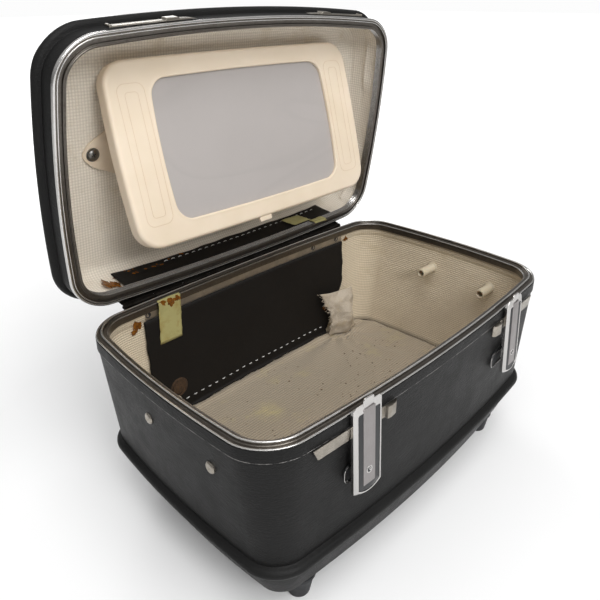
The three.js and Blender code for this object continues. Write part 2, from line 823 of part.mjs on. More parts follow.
function mirrorFrame() {
  const bezel = loft([
    mirrorLoop(0, MIRROR_WALL),
    mirrorLoop(0, 2.6),
    mirrorLoop(0.7, 0.8),
    mirrorLoop(2.2, 0),
    glassLoop(2, 0),
    glassLoop(0, 1.2),
    glassLoop(0, 2.8),
    mirrorLoop(2.6, 2.8),
    mirrorLoop(2.6, MIRROR_WALL),
  ], { closed: true });
  const pullTab = levelPlate(roundedShape(-14.5, 0.5, MIRROR_HALF_Y - 2, MIRROR_HALF_Y + 4, 2), 1.4, 3.4, 4);
  return join(bezel, pullTab);
}

function mirrorGlass() {
  return loft([glassLoop(3.4, 3.1), glassLoop(3.4, 6.1)]);
}

function mirrorBack() {
  const plate = loft([mirrorLoop(2.9, 6.5), mirrorLoop(2.9, 8.5)]);
  const lugs = [-LUG_X - 2.6, LUG_X].map((x) => join(
    box(x, x + 2.6, -8, 8, 8, 12.5),
    rod('x', 4.2, x, x + 2.6, 0, MIRROR_SET_BACK),
    box(x, x + 2.6, -4.2, 4.2, 8, MIRROR_SET_BACK),
  ));
  const end = LUG_X + 4;
  return cut(join(plate, ...lugs), rod('x', MIRROR_PIN_RADIUS + 0.15, -end, end, 0, MIRROR_SET_BACK));
}

function mirrorPin(side) {
  const ends = [side * (LUG_X - 1.4), side * (BRACKET_X + 3.6)].sort((a, b) => a - b);
  return rod('x', MIRROR_PIN_RADIUS, ends[0], ends[1], 0, MIRROR_SET_BACK, 16);
}

const EAR = { x: 144.4, y: -6.8, radius: 5.8, z0: 42.6, z1: 44.6 };

// A triangular ear screwed flat inside the lid, with an arm reaching down to the mirror's pivot.
function mirrorBracket(side) {
  const ear = new THREE.Shape();
  ear.moveTo(side * (BRACKET_X - 1.2), -33);
  ear.lineTo(side * (EAR.x + 3), EAR.y - EAR.radius * 0.9);
  ear.absarc(side * EAR.x, EAR.y, EAR.radius, side > 0 ? -1 : Math.PI + 1, side > 0 ? 1 : Math.PI - 1,
    side < 0);
  ear.lineTo(side * (EAR.x + 3), EAR.y + EAR.radius * 0.9);
  ear.lineTo(side * (BRACKET_X - 1.2), 18);
  const armX = [side * (BRACKET_X - 1.2), side * (BRACKET_X + 1.4)].sort((a, b) => a - b);
  const arm = new THREE.Shape([
    new THREE.Vector2(-13, EAR.z1),
    new THREE.Vector2(-5, MIRROR_PIVOT.z),
    new THREE.Vector2(5, MIRROR_PIVOT.z),
    new THREE.Vector2(13, EAR.z1),
  ]);
  const web = new THREE.ExtrudeGeometry(arm, { depth: armX[1] - armX[0], bevelEnabled: false })
    .rotateX(Math.PI / 2)
    .rotateZ(Math.PI / 2)
    .translate(armX[0], MIRROR_PIVOT.y, 0);
  const boss = rod('x', 5, armX[0], armX[1], MIRROR_PIVOT.y, MIRROR_PIVOT.z);
  const bore = rod('x', MIRROR_PIN_RADIUS + 0.15, armX[0] - 1, armX[1] + 1,
    MIRROR_PIVOT.y, MIRROR_PIVOT.z);
  const screwHole = rod('z', 2, EAR.z0 - 1, EAR.z1 + 1, side * EAR.x, EAR.y);
  return cut(join(levelPlate(ear, EAR.z0, EAR.z1, 6), web, boss), bore, screwHole);
}

function mirrorScrew(side) {
  const profile = [
    new THREE.Vector2(0, -0.4),
    new THREE.Vector2(1.8, -0.4),
    new THREE.Vector2(1.8, -2.6),
    new THREE.Vector2(4.8, -2.6),
    new THREE.Vector2(4.6, -3.4),
    new THREE.Vector2(3, -4.6),
    new THREE.Vector2(0, -5),
  ];
  return new THREE.LatheGeometry(profile.reverse(), 20)
    .rotateX(Math.PI / 2)
    .translate(side * EAR.x, EAR.y, EAR.z1 + 0.3);
}

function mirrorGroup() {
  const mirror = new THREE.Group();
  mirror.position.set(0, MIRROR_PIVOT.y, MIRROR_PIVOT.z);
  mirror.rotation.x = -MIRROR_TILT;
  const drawn = new THREE.Group();
  drawn.position.z = -MIRROR_SET_BACK;
  drawn.add(
    piece('mirror_frame', mirrorFrame(), 'cream'),
    piece('mirror_glass', mirrorGlass(), 'glass'),
    piece('mirror_back', mirrorBack(), 'cream'),
    piece('mirror_pin_left', mirrorPin(-1), 'steel'),
    piece('mirror_pin_right', mirrorPin(1), 'steel'),
  );
  mirror.add(drawn);
  return mirror;
}

// ---------------------------------------------------------------- handle

const HANDLE_REACH = 30;
const HANDLE_ARM_X = 70;
const HANDLE_PIN_RADIUS = 2.4;

// A bail lying folded towards the hinge, thicker at the grip than at its two eyes.
function handleGrip() {
  const path = new THREE.CatmullRomCurve3([
    new THREE.Vector3(-HANDLE_ARM_X, 2, 0),
    new THREE.Vector3(-HANDLE_ARM_X + 1, 16, 0),
    new THREE.Vector3(-HANDLE_ARM_X + 14, HANDLE_REACH - 2, 0),
    new THREE.Vector3(-26, HANDLE_REACH + 2, 0),
    new THREE.Vector3(26, HANDLE_REACH + 2, 0),
    new THREE.Vector3(HANDLE_ARM_X - 14, HANDLE_REACH - 2, 0),
    new THREE.Vector3(HANDLE_ARM_X - 1, 16, 0),
    new THREE.Vector3(HANDLE_ARM_X, 2, 0),
  ]);
  const section = new THREE.Shape();
  section.absellipse(0, 0, 5.6, 4.2, 0, Math.PI * 2);
  const bail = new THREE.ExtrudeGeometry(section, { steps: 20, curveSegments: 4, extrudePath: path });
  const grip = new THREE.SphereGeometry(1, 12, 8).scale(44, 7.4, 7).translate(0, HANDLE_REACH + 1, 0);
  const eyes = [-1, 1].map((side) => {
    const ends = [side * (HANDLE_ARM_X - 3.4), side * (HANDLE_ARM_X + 3.4)].sort((a, b) => a - b);
    return rod('x', 5.4, ends[0], ends[1], 0, 0);
  });
  const end = HANDLE_ARM_X + 8;
  return cut(join(bail, grip, ...eyes), rod('x', HANDLE_PIN_RADIUS + 0.3, -end, end, 0, 0))
    .translate(0, 0, HANDLE_AXIS_Z);
}

// A foot plate with a post, and a stub that the handle's eye turns on.
function handleBracket(side) {
  const base = LID_TOP + LID_DOME + GAP;
  const post = [side * (HANDLE_POST_X - 2), side * (HANDLE_POST_X + 3.4)].sort((a, b) => a - b);
  const stub = [side * HANDLE_POST_X, side * (HANDLE_ARM_X + 5)].sort((a, b) => a - b);
  const plate = [side * (HANDLE_POST_X - 14), side * (HANDLE_POST_X + 3.4)].sort((a, b) => a - b);
  return join(
    box(plate[0], plate[1], -9, 9, base, base + 1.8),
    box(post[0], post[1], -5, 5, base, HANDLE_AXIS_Z),
    rod('x', 5, post[0], post[1], 0, HANDLE_AXIS_Z),
    rod('x', HANDLE_PIN_RADIUS, stub[0], stub[1], 0, HANDLE_AXIS_Z),
  );
}

// ---------------------------------------------------------------- assembly

function baseGroup() {
  const base = new THREE.Group();
  base.add(
    piece('base_shell', baseShell(), 'shell'),
    piece('bottom_pan', bottomPan(), 'shell'),
    piece('base_rim_frame', baseRimFrame(), 'rim'),
    piece('base_lining', baseLining(), 'lining'),
    piece('floor_board', floorSheet(-7.9, PAN_LEDGE + GAP, FLOOR_TOP - 2.6), 'board'),
    piece('floor_pad', floorSheet(-8.7, FLOOR_TOP - 2.2, FLOOR_TOP), 'lining'),
    piece('hinge_leaf_base', hingeLeaf(-1, 0, 11), 'steel'),
    piece('hinge_pin', hingePin(), 'steel'),
  );
  FEET.forEach((place) => base.add(piece(place.name, foot(place), 'rubber')));
  pegPlaces.forEach((place) => {
    base.add(piece(`tray_peg_${place.label}`, trayPeg(place), 'peg'));
    base.add(piece(`peg_rivet_${place.label}`, pegRivet(place), 'nickel'));
  });
  const insideBack = LINING_IN - GAP;
  base.add(
    piece('back_board', wallPatch(bodyLean, 1, [-136, 136], [-119, -15],
      [insideBack - 3.2, insideBack - 1.6]), 'board'),
    piece('back_strip', wallPatch(bodyLean, 1, [-134, 134], [-14.4, -1.8],
      [insideBack - 1.2, insideBack]), 'steel'),
    piece('tape_tab_base', wallPatch(bodyLean, 1, [-121, -93], [-46, -15.5],
      [insideBack - 4, insideBack - 3.5], 2), 'tape'),
    piece('lining_flap', wallPatch(bodyLean, 1, [96, 134], [-122, -66],
      [insideBack - 14, insideBack - 3.6], 4), 'lining'),
  );
  addLatch(base, -1);
  addLatch(base, 1);
  return base;
}

function lidGroup() {
  const closed = new THREE.Group();
  closed.position.set(0, -HINGE_Y, -HINGE_Z);
  closed.add(
    piece('lid_shell', lidShell(), 'shell'),
    piece('lid_top', lidTop(), 'shell'),
    piece('lid_rim_frame', lidRimFrame(), 'rim'),
    piece('lid_lining', lidLining(), 'lining'),
    piece('hinge_leaf_lid', hingeLeaf(1, 1, 12), 'steel'),
    piece('lid_hinge_cover', wallPatch(lidLean, 1, [-136, 138], [9, 36],
      [LINING_IN - GAP - 3.2, LINING_IN - GAP - 2]), 'board'),
    piece('handle_grip', handleGrip(), 'board'),
  );
  [-1, 1].forEach((side) => {
    const label = side < 0 ? 'left' : 'right';
    closed.add(
      piece(`lid_keeper_${label}`, lidKeeper(side), 'nickel'),
      piece(`mirror_bracket_${label}`, mirrorBracket(side), 'cream'),
      piece(`mirror_screw_${label}`, mirrorScrew(side), 'steel'),
      piece(`handle_bracket_${label}`, handleBracket(side), 'nickel'),
    );
  });
  closed.add(mirrorGroup());
  const lid = new THREE.Group();
  lid.position.set(0, HINGE_Y, HINGE_Z);
  lid.rotation.x = -OPEN_ANGLE;
  lid.add(closed);
  return lid;
}

// The finished case stands on the ground plane, centred on the Z axis.
function trainCase() {
  const whole = new THREE.Group();
  whole.add(baseGroup(), lidGroup());
  whole.updateMatrixWorld(true);
  const bounds = new THREE.Box3().setFromObject(whole, true);
  const centre = bounds.getCenter(new THREE.Vector3());
  whole.position.set(-centre.x, -centre.y, -bounds.min.z);
  return whole;
}

export default trainCase();
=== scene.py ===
"""Looks of an open makeup train case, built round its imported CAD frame.

Pieces are drawn in millimetres. The base's origin is the middle of its rim plane, with +X to the
right and +Y towards the hinge. Lid pieces are drawn as they lie on the closed case.
"""

import math
import random

import bmesh
import bpy
from mathutils import Matrix, Vector, noise


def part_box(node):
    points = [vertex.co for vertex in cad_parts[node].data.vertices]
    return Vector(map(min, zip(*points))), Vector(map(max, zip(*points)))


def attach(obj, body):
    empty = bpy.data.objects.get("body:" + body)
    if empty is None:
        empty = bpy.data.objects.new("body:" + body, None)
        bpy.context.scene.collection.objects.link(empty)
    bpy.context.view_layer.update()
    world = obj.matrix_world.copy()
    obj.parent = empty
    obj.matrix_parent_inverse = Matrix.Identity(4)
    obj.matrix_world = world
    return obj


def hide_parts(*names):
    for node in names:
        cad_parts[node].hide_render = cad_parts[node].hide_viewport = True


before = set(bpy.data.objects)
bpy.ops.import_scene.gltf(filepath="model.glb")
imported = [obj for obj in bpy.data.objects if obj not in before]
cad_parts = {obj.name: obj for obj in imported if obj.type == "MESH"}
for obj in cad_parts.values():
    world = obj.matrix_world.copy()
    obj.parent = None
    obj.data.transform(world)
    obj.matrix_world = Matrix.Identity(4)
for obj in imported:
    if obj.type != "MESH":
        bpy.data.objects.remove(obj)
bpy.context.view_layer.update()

# ------------------------------------------------------------------ sizes, in millimetres

MM = 0.001
HALF_WIDTH = 195
HALF_DEPTH = 120.5
CORNER_RADIUS = 33
BOW_FRONT = 10
BOW_BACK = 5
BOW_SIDE = 7
SKIN = 3.5
GAP = 0.3
LINING = 1.5

COLLAR_HEIGHT = 11
WALL_FOOT = -110
BEAD_HEIGHT = 8.6
BEAD_REACH = 4.6
BEAD_STEPS = 10
TAPER_SIDE = 10.9
TAPER_FRONT = 4
FOOT_CORNER_RADIUS = 24
PAN_BOTTOM = -152
PAN_LEDGE = -133.4
FLOOR_TOP = -127.6
FOOT_TIP = -174
FOOT_X = 135
FOOT_Y = 86
TONGUE_TOP = 2.6

LID_WALL = 20.5
LID_LEAN = 1
LID_TOP = 50
LID_DOME = 1.5
LID_SHELL_EDGE = 4.2

HINGE = Vector((0, 124.3, -1.1))
OPEN_ANGLE = math.radians(82.2)

LATCH_X = 104.2
LATCH_PIVOT = Vector((0, -4, -14))
LEVER_LEAN = math.radians(2.8)

PEG_Y = (-58.5, 15)
PEG_Z = -35.5
PEG_TIP = 163.5

MIRROR_PIVOT = Vector((0, -9.2, 13.6))
MIRROR_TILT = math.radians(22.7)
MIRROR_SET_BACK = 17

HANDLE_AXIS_Z = 60
SIDES = (("left", -1), ("right", 1))

# ------------------------------------------------------------------ places

rim_low, rim_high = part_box("base_rim_frame")
ORIGIN = Vector(((rim_low.x + rim_high.x) / 2, (rim_low.y + rim_high.y) / 2, rim_high.z - TONGUE_TOP * MM))

BASE = Matrix.Translation(ORIGIN) @ Matrix.Scale(MM, 4)
LID = BASE @ Matrix.Translation(HINGE) @ Matrix.Rotation(-OPEN_ANGLE, 4, "X") @ Matrix.Translation(-HINGE)
MIRROR = (
    LID
    @ Matrix.Translation(MIRROR_PIVOT)
    @ Matrix.Rotation(-MIRROR_TILT, 4, "X")
    @ Matrix.Translation((0, 0, -MIRROR_SET_BACK))
)


def front_turn(x):
    """The angle of the bowed front wall at a point along X."""
    return math.atan(2 * BOW_FRONT * x / HALF_WIDTH**2)


def latch_place(side):
    """Latch pieces are drawn round the wall face behind the lever."""
    x = side * LATCH_X
    face = Vector((x, wall_y(body_lean, -1, x, 0, 0), 0))
    return BASE @ Matrix.Translation(face) @ Matrix.Rotation(front_turn(x), 4, "Z")


def lever_place(side):
    return latch_place(side) @ Matrix.Translation(LATCH_PIVOT) @ Matrix.Rotation(-LEVER_LEAN, 4, "X")


# ------------------------------------------------------------------ the case's outline

CORNER_STEPS = 12
LONG_STEPS = 40
SHORT_STEPS = 22
CASE_BOW = (BOW_FRONT, BOW_BACK, BOW_SIDE)


def outline(half_x, half_y, radius, bow, steps=(CORNER_STEPS, LONG_STEPS, SHORT_STEPS)):
    """A rounded rectangle whose sides swell outwards between its corners, anticlockwise."""
    corner_steps, long_steps, short_steps = steps
    centres = [
        (half_x - radius, half_y - radius, long_steps),
        (radius - half_x, half_y - radius, short_steps),
        (radius - half_x, radius - half_y, long_steps),
        (half_x - radius, radius - half_y, short_steps),
    ]
    points = []
    for turn, (cx, cy, side_steps) in enumerate(centres):
        for step in range(corner_steps + 1):
            angle = (turn + step / corner_steps) * math.pi / 2
            points.append(Vector((cx + radius * math.cos(angle), cy + radius * math.sin(angle))))
        nx, ny, _ = centres[(turn + 1) % 4]
        next_angle = (turn + 1) * math.pi / 2
        start = points[-1]
        end = Vector((nx + radius * math.cos(next_angle), ny + radius * math.sin(next_angle)))
        for step in range(1, side_steps):
            points.append(start.lerp(end, step / side_steps))
    front, back, side = bow
    bowed = []
    for x, y in points:
        swell = back if y > 0 else front
        new_x = x - x / half_x * side * (y / half_y) ** 2
        new_y = y - y / half_y * swell * (x / half_x) ** 2
        bowed.append(Vector((new_x, new_y)))
    return bowed


def body_lean(z):
    """The base wall's growth in X and Y and its corner radius: it draws in towards the foot."""
    part = clamp((-COLLAR_HEIGHT - z) / (-COLLAR_HEIGHT - WALL_FOOT))
    radius = CORNER_RADIUS + (FOOT_CORNER_RADIUS - CORNER_RADIUS) * part
    return -TAPER_SIDE * part, -TAPER_FRONT * part, radius


def lid_lean(z):
    """The same for the lid wall, which leans out a little."""
    out = LID_LEAN * clamp(z / LID_WALL)
    return out, out, CORNER_RADIUS


def wall_row(lean, out, z):
    """The wall's outline at a height, moved outwards by `out`."""
    lean_x, lean_y, radius = lean(z)
    corner = max(radius + out, 6)
    flat = outline(HALF_WIDTH + lean_x + out, HALF_DEPTH + lean_y + out, corner, CASE_BOW)
    return [Vector((x, y, z)) for x, y in flat]


def wall_y(lean, side, x, out, z):
    """Where the front (side -1) or rear (side 1) wall stands at x."""
    lean_x, lean_y, _ = lean(z)
    swell = BOW_FRONT if side < 0 else BOW_BACK
    return side * (HALF_DEPTH + lean_y + out - swell * (x / (HALF_WIDTH + lean_x + out)) ** 2)


def wall_x(lean, y, out, z):
    """Where the right-hand wall stands at y. The left-hand one is its mirror image."""
    lean_x, lean_y, _ = lean(z)
    return HALF_WIDTH + lean_x + out - BOW_SIDE * (y / (HALF_DEPTH + lean_y + out)) ** 2


def soften(points, closed, steps=4):
    """Turns each corner (a, b, reach) of a path into a short curve that starts `reach` before it."""
    path = []
    count = len(points)
    for i, (a, b, reach) in enumerate(points):
        corner = Vector((a, b))
        if reach == 0 or (not closed and i in (0, count - 1)):
            path.append(corner)
            continue
        before = Vector(points[i - 1][:2]) - corner
        after = Vector(points[(i + 1) % count][:2]) - corner
        start = corner + before.normalized() * min(reach, before.length * 0.49)
        end = corner + after.normalized() * min(reach, after.length * 0.49)
        for step in range(steps + 1):
            t = step / steps
            path.append(start * (1 - t) ** 2 + corner * 2 * t * (1 - t) + end * t * t)
    return path


# ------------------------------------------------------------------ meshes

SHARP = math.radians(38)


def finish_mesh(name, mesh, body, place, material, replaces=()):
    """Puts a mesh drawn in millimetres on its body, smooth-shaded with crisp corners."""
    mesh.name = name
    mesh.transform(place)
    mesh.polygons.foreach_set("use_smooth", [True] * len(mesh.polygons))
    mesh.set_sharp_from_angle(angle=SHARP)
    piece = bpy.data.objects.new(name, mesh)
    bpy.context.scene.collection.objects.link(piece)
    piece.data.materials.append(material)
    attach(piece, body)
    if replaces:
        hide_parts(*replaces)
    return piece


def grid_mesh(rows, wrap=False, closed=False, caps=()):
    """Skins rows of points. `wrap` joins each row's ends, `closed` joins the last row to the first.

    UVs are in millimetres: round the row, and along the path from row to row. `caps` closes the
    first and last row with rings that rise to a dome, with UVs seen from above.
    """
    count = len(rows[0])
    vertices = [point for row in rows for point in row]
    faces, uvs = [], []
    around = [0.0]
    widest = rows[len(rows) // 2]
    for j in range(1, count + 1):
        around.append(around[-1] + (widest[j % count] - widest[j - 1]).length)
    along = [0.0]
    for i in range(1, len(rows) + 1):
        along.append(along[-1] + (rows[i % len(rows)][0] - rows[i - 1][0]).length)
    bands = len(rows) if closed else len(rows) - 1
    columns = count if wrap else count - 1
    for i in range(bands):
        for j in range(columns):
            k, m = (i + 1) % len(rows), (j + 1) % count
            faces.append((i * count + j, i * count + m, k * count + m, k * count + j))
            corners = [(j, i), (j + 1, i), (j + 1, i + 1), (j, i + 1)]
            uvs.append([(around[a], along[b]) for a, b in corners])
    for end, (dome, rings) in enumerate(caps):
        first = 0 if end == 0 else (len(rows) - 1) * count
        edge = [first + j for j in range(count)]
        centre = sum((vertices[v] for v in edge), Vector()) / count
        ring = edge
        for step in range(1, rings + 1):
            shrink = 1 - step / rings
            height = Vector((0, 0, dome * (1 - shrink**2)))
            if step < rings:
                inner = list(range(len(vertices), len(vertices) + count))
                vertices += [centre + (vertices[v] - centre) * shrink + height for v in edge]
            else:
                inner = [len(vertices)] * count
                vertices.append(centre + height)
            for j in range(count):
                m = (j + 1) % count
                face = (ring[j], ring[m], inner[m], inner[j])
                if step == rings:
                    face = face[:3]
                faces.append(face if end == 1 else face[::-1])
                uvs.append([tuple(vertices[v].xy) for v in faces[-1]])
            ring = inner
    mesh = bpy.data.meshes.new("mesh")
    mesh.from_pydata([tuple(v) for v in vertices], [], faces)
    layer = mesh.uv_layers.new(name="millimetres")
    flat = [value for face in uvs for corner in face for value in corner]
    layer.data.foreach_set("uv", flat)
    return outward(mesh)


def outward(mesh):
    """Makes every face look out."""
    work = bmesh.new()
    work.from_mesh(mesh)
    bmesh.ops.recalc_face_normals(work, faces=work.faces)
    work.to_mesh(mesh)
    work.free()
    return mesh


def wall_ring(lean, profile):
    """A closed ring round the case from a softened (out, z, reach) profile."""
    rows = [wall_row(lean, out, z) for out, z in soften(profile, True)]
    return grid_mesh(rows, wrap=True, closed=True)


def wall_bowl(lean, profile, dome):
    """A bowl round the case from an open profile, with both of its ends closed by a dome."""
    rows = [wall_row(lean, out, z) for out, z in soften(profile, False, 8)]
    return grid_mesh(rows, wrap=True, caps=[(dome, 10), (dome, 10)])


def bead(z_start, z_end):
    """A half-round bumper bead, as profile points that need no softening."""
    middle, half = (z_start + z_end) / 2, (z_start - z_end) / 2
    points = []
    for step in range(BEAD_STEPS + 1):
        angle = step / BEAD_STEPS * math.pi
        points.append((BEAD_REACH * math.sin(angle), middle + half * math.cos(angle), 0))
    return points


def lathe_mesh(profile, segments=40):
    """Spins a (radius, height) profile round Z. Points at radius 0 close the ends."""
    work = bmesh.new()
    rings = []
    for radius, height in profile:
        if radius == 0:
            rings.append([work.verts.new((0, 0, height))])
            continue
        ring = []
        for step in range(segments):
            angle = 2 * math.pi * step / segments
            ring.append(work.verts.new((radius * math.cos(angle), radius * math.sin(angle), height)))
        rings.append(ring)
    for low, high in zip(rings, rings[1:]):
        for j in range(segments):
            k = (j + 1) % segments
            corners = [low[j % len(low)], low[k % len(low)], high[k % len(high)], high[j % len(high)]]
            unique = list(dict.fromkeys(corners))
            if len(unique) > 2:
                work.faces.new(unique)
    return closed_mesh(work)


def closed_mesh(work):
    """Turns a closed bmesh into a mesh whose faces look out."""
    bmesh.ops.recalc_face_normals(work, faces=work.faces)
    mesh = bpy.data.meshes.new("mesh")
    work.to_mesh(mesh)
    work.free()
    return mesh


def plate_mesh(shape, low, high, bevel, axis="Y"):
    """A flat plate of constant thickness with bevelled edges.

    The shape is drawn in X and Z for axis Y, X and Y for axis Z, and Y and Z for axis X.
    """
    work = bmesh.new()
    lifts = {
        "X": lambda a, b, c: (c, a, b),
        "Y": lambda a, b, c: (a, c, b),
        "Z": lambda a, b, c: (a, b, c),
    }
    lift = lifts[axis]
    near = [work.verts.new(lift(a, b, low)) for a, b in shape]
    far = [work.verts.new(lift(a, b, high)) for a, b in shape]
    work.faces.new(near)
    work.faces.new(far[::-1])
    for j in range(len(shape)):
        k = (j + 1) % len(shape)
        work.faces.new((near[k], near[j], far[j], far[k]))
    bmesh.ops.recalc_face_normals(work, faces=work.faces)
    if bevel:
        edges = [e for e in work.edges if e.calc_face_angle(0) > math.radians(25)]
        bmesh.ops.bevel(
            work, geom=edges, offset=bevel, segments=3, profile=0.5, affect="EDGES", clamp_overlap=True
        )
    return closed_mesh(work)


def rounded_rectangle(x0, x1, z0, z1, radius, steps=6):
    points = []
    corners = [(x1 - radius, z1 - radius), (x0 + radius, z1 - radius),
               (x0 + radius, z0 + radius), (x1 - radius, z0 + radius)]
    for turn, (cx, cz) in enumerate(corners):
        for step in range(steps + 1):
            angle = (turn + step / steps) * math.pi / 2
            points.append((cx + radius * math.cos(angle), cz + radius * math.sin(angle)))
    return points


def merged(*meshes):
    """Several closed meshes as one mesh."""
    work = bmesh.new()
    for mesh in meshes:
        work.from_mesh(mesh)
        bpy.data.meshes.remove(mesh)
    mesh = bpy.data.meshes.new("mesh")
    work.to_mesh(mesh)
    work.free()
    return mesh


def moved(mesh, matrix):
    """The mesh itself, after a move."""
    mesh.transform(matrix)
    return mesh


def turned(place, angle, axis):
    """A placement: a turn about an axis of the millimetre frame, then a move."""
    return Matrix.Translation(place) @ Matrix.Rotation(angle, 4, axis)


def clamp(value):
    return min(1, max(0, value))


def ripple(point, scale, amount, seed=0.0):
    """Smooth, repeatable unevenness."""
    return amount * noise.noise(Vector(point) / scale + Vector((seed, seed * 0.7, seed * 1.3)))


# ------------------------------------------------------------------ material nodes


class Look:
    """A material built from nodes, ending in one Principled surface."""

    def __init__(self, name):
        self.material = bpy.data.materials.new(name)
        self.material.use_nodes = True
        self.tree = self.material.node_tree
        self.tree.nodes.clear()
        self.surface = self.tree.nodes.new("ShaderNodeBsdfPrincipled")
        out = self.tree.nodes.new("ShaderNodeOutputMaterial")
        self.tree.links.new(self.surface.outputs[0], out.inputs[0])

    def set(self, **values):
        for key, value in values.items():
            self.link(self.surface.inputs[key.replace("_", " ").title().replace("Ior", "IOR")], value)

    def link(self, socket, value):
        if isinstance(value, bpy.types.NodeSocket):
            self.tree.links.new(value, socket)
        elif isinstance(value, tuple) and len(value) == 3 and len(socket.default_value) == 4:
            socket.default_value = (*value, 1)
        else:
            socket.default_value = value

    def node(self, kind, inputs=(), output=0, **settings):
        made = self.tree.nodes.new(kind)
        for key, value in settings.items():
            setattr(made, key, value)
        for key, value in dict(inputs).items():
            self.link(made.inputs[key], value)
        return made.outputs[output]

    def place(self, kind="Object"):
        return self.node("ShaderNodeTexCoord", output=kind)

    def millimetres(self):
        """Object coordinates in millimetres."""
        return self.stretch(self.place(), (1000, 1000, 1000))

    def stretch(self, vector, scale, turn=(0, 0, 0)):
        return self.node("ShaderNodeMapping", {"Vector": vector, "Scale": scale, "Rotation": turn})

    def noise(self, vector, scale, detail=3, rough=0.55, twist=0.0):
        inputs = {"Vector": vector, "Scale": scale, "Detail": detail}
        inputs |= {"Roughness": rough, "Distortion": twist}
        return self.node("ShaderNodeTexNoise", inputs)

    def cells(self, vector, scale, feature="F1", output="Distance"):
        inputs = {"Vector": vector, "Scale": scale}
        return self.node("ShaderNodeTexVoronoi", inputs, output, feature=feature)

    def math(self, operation, a, b=0.0):
        return self.node("ShaderNodeMath", {0: a, 1: b}, operation=operation)

    def times(self, a, b):
        return self.math("MULTIPLY", a, b)

    def painted(self, name):
        """A number stored on the mesh by paint_rows or paint_points."""
        return self.node("ShaderNodeAttribute", output="Fac", attribute_name=name)

    def step(self, value, low, high, out_low=0.0, out_high=1.0):
        inputs = {"Value": value, "From Min": low, "From Max": high, "To Min": out_low, "To Max": out_high}
        return self.node("ShaderNodeMapRange", inputs)

    def mix(self, factor, a, b):
        made = self.tree.nodes.new("ShaderNodeMix")
        made.data_type = "RGBA"
        self.link(made.inputs[0], factor)
        self.link(made.inputs[6], a)
        self.link(made.inputs[7], b)
        return made.outputs[2]

    def bump(self, height, distance_mm, strength=1.0, normal=None):
        inputs = {"Height": height, "Distance": distance_mm * MM, "Strength": strength}
        if normal is not None:
            inputs["Normal"] = normal
        return self.node("ShaderNodeBump", inputs)

    def axis(self, vector, index):
        return self.node("ShaderNodeSeparateXYZ", {0: vector}, index)


def grained_shell():
    """Dark moulded shell: fine leather grain, slanted creases, dust, a few pale scuffs and a patchy pale line
    along the seam under the collar.
    """
    look = Look("grained_shell")
    mm = look.millimetres()
    slanted = look.stretch(mm, (0.5, 0.5, 1.25), (0.5, 0.3, 0.4))
    grain = look.cells(slanted, 1.0, "SMOOTH_F1")
    fine = look.noise(slanted, 1.5, 4, 0.6)
    creases = look.noise(look.stretch(mm, (0.10, 0.10, 0.55), (0.6, 0.2, 0)), 1.0, 6, 0.7, 0.6)
    mottle = look.noise(mm, 0.03, 3)
    dust = look.step(look.noise(mm, 0.55, 5, 0.8), 0.66, 0.8)
    wear = look.step(look.noise(mm, 0.03, 4, 0.7), 0.5, 0.75)
    deep = look.mix(mottle, (0.0105, 0.0104, 0.0102), (0.0165, 0.0163, 0.0161))
    dusted = look.mix(look.times(dust, 0.35), deep, (0.055, 0.055, 0.055))
    # A patchy pale line along the seam row under the collar.
    seam = look.painted("seam")
    pale_seam_line = look.times(seam, look.step(look.noise(mm, 0.12, 5, 0.8), 0.42, 0.56))
    worn = look.math("ADD", look.times(look.times(wear, dust), 0.5), pale_seam_line)
    first = look.bump(grain, 0.26, 0.7)
    second = look.bump(fine, 0.16, 0.6, first)
    third = look.bump(creases, 0.6, 0.6, second)
    look.set(
        base_color=look.mix(worn, dusted, (0.38, 0.365, 0.35)),
        roughness=look.step(look.noise(mm, 0.06, 4), 0.3, 0.7, 0.34, 0.46),
        normal=third,
    )
    look.surface.inputs["Specular IOR Level"].default_value = 0.105
    return look.material


def foot_rubber():
    look = Look("foot_rubber")
    mm = look.millimetres()
    grime_and_crease_shade = look.noise(mm, 0.15, 4)
    look.set(
        base_color=look.mix(grime_and_crease_shade, (0.012, 0.013, 0.015), (0.032, 0.033, 0.036)),
        roughness=look.step(grime_and_crease_shade, 0.3, 0.7, 0.5, 0.75),
        normal=look.bump(look.noise(mm, 1.3, 3), 0.1, 0.5),
    )
    return look.material


def worn_metal(name, bright, dull, roughness, dirt=0.35):
    """Old plated metal: cloudy tarnish, fine scratches, darker specks."""
    look = Look(name)
    mm = look.millimetres()
    cloud = look.noise(mm, 0.06, 5, 0.65)
    scratch = look.noise(look.stretch(mm, (0.05, 0.3, 2.6), (0, 0, 0.2)), 1.0, 3, 0.7)
    speck = look.step(look.noise(mm, 0.9, 4, 0.8), 0.66, 0.76)
    tarnish = look.mix(look.step(cloud, 0.35, 0.68), bright, dull)
    low, high = roughness
    look.set(
        base_color=look.mix(look.times(speck, dirt), tarnish, (0.05, 0.04, 0.03)),
        metallic=look.step(speck, 0, 1, 1.0, 0.6),
        roughness=look.step(look.math("ADD", cloud, scratch), 0.7, 1.3, low, high),
        normal=look.bump(scratch, 0.05, 0.35),
    )
    return look.material


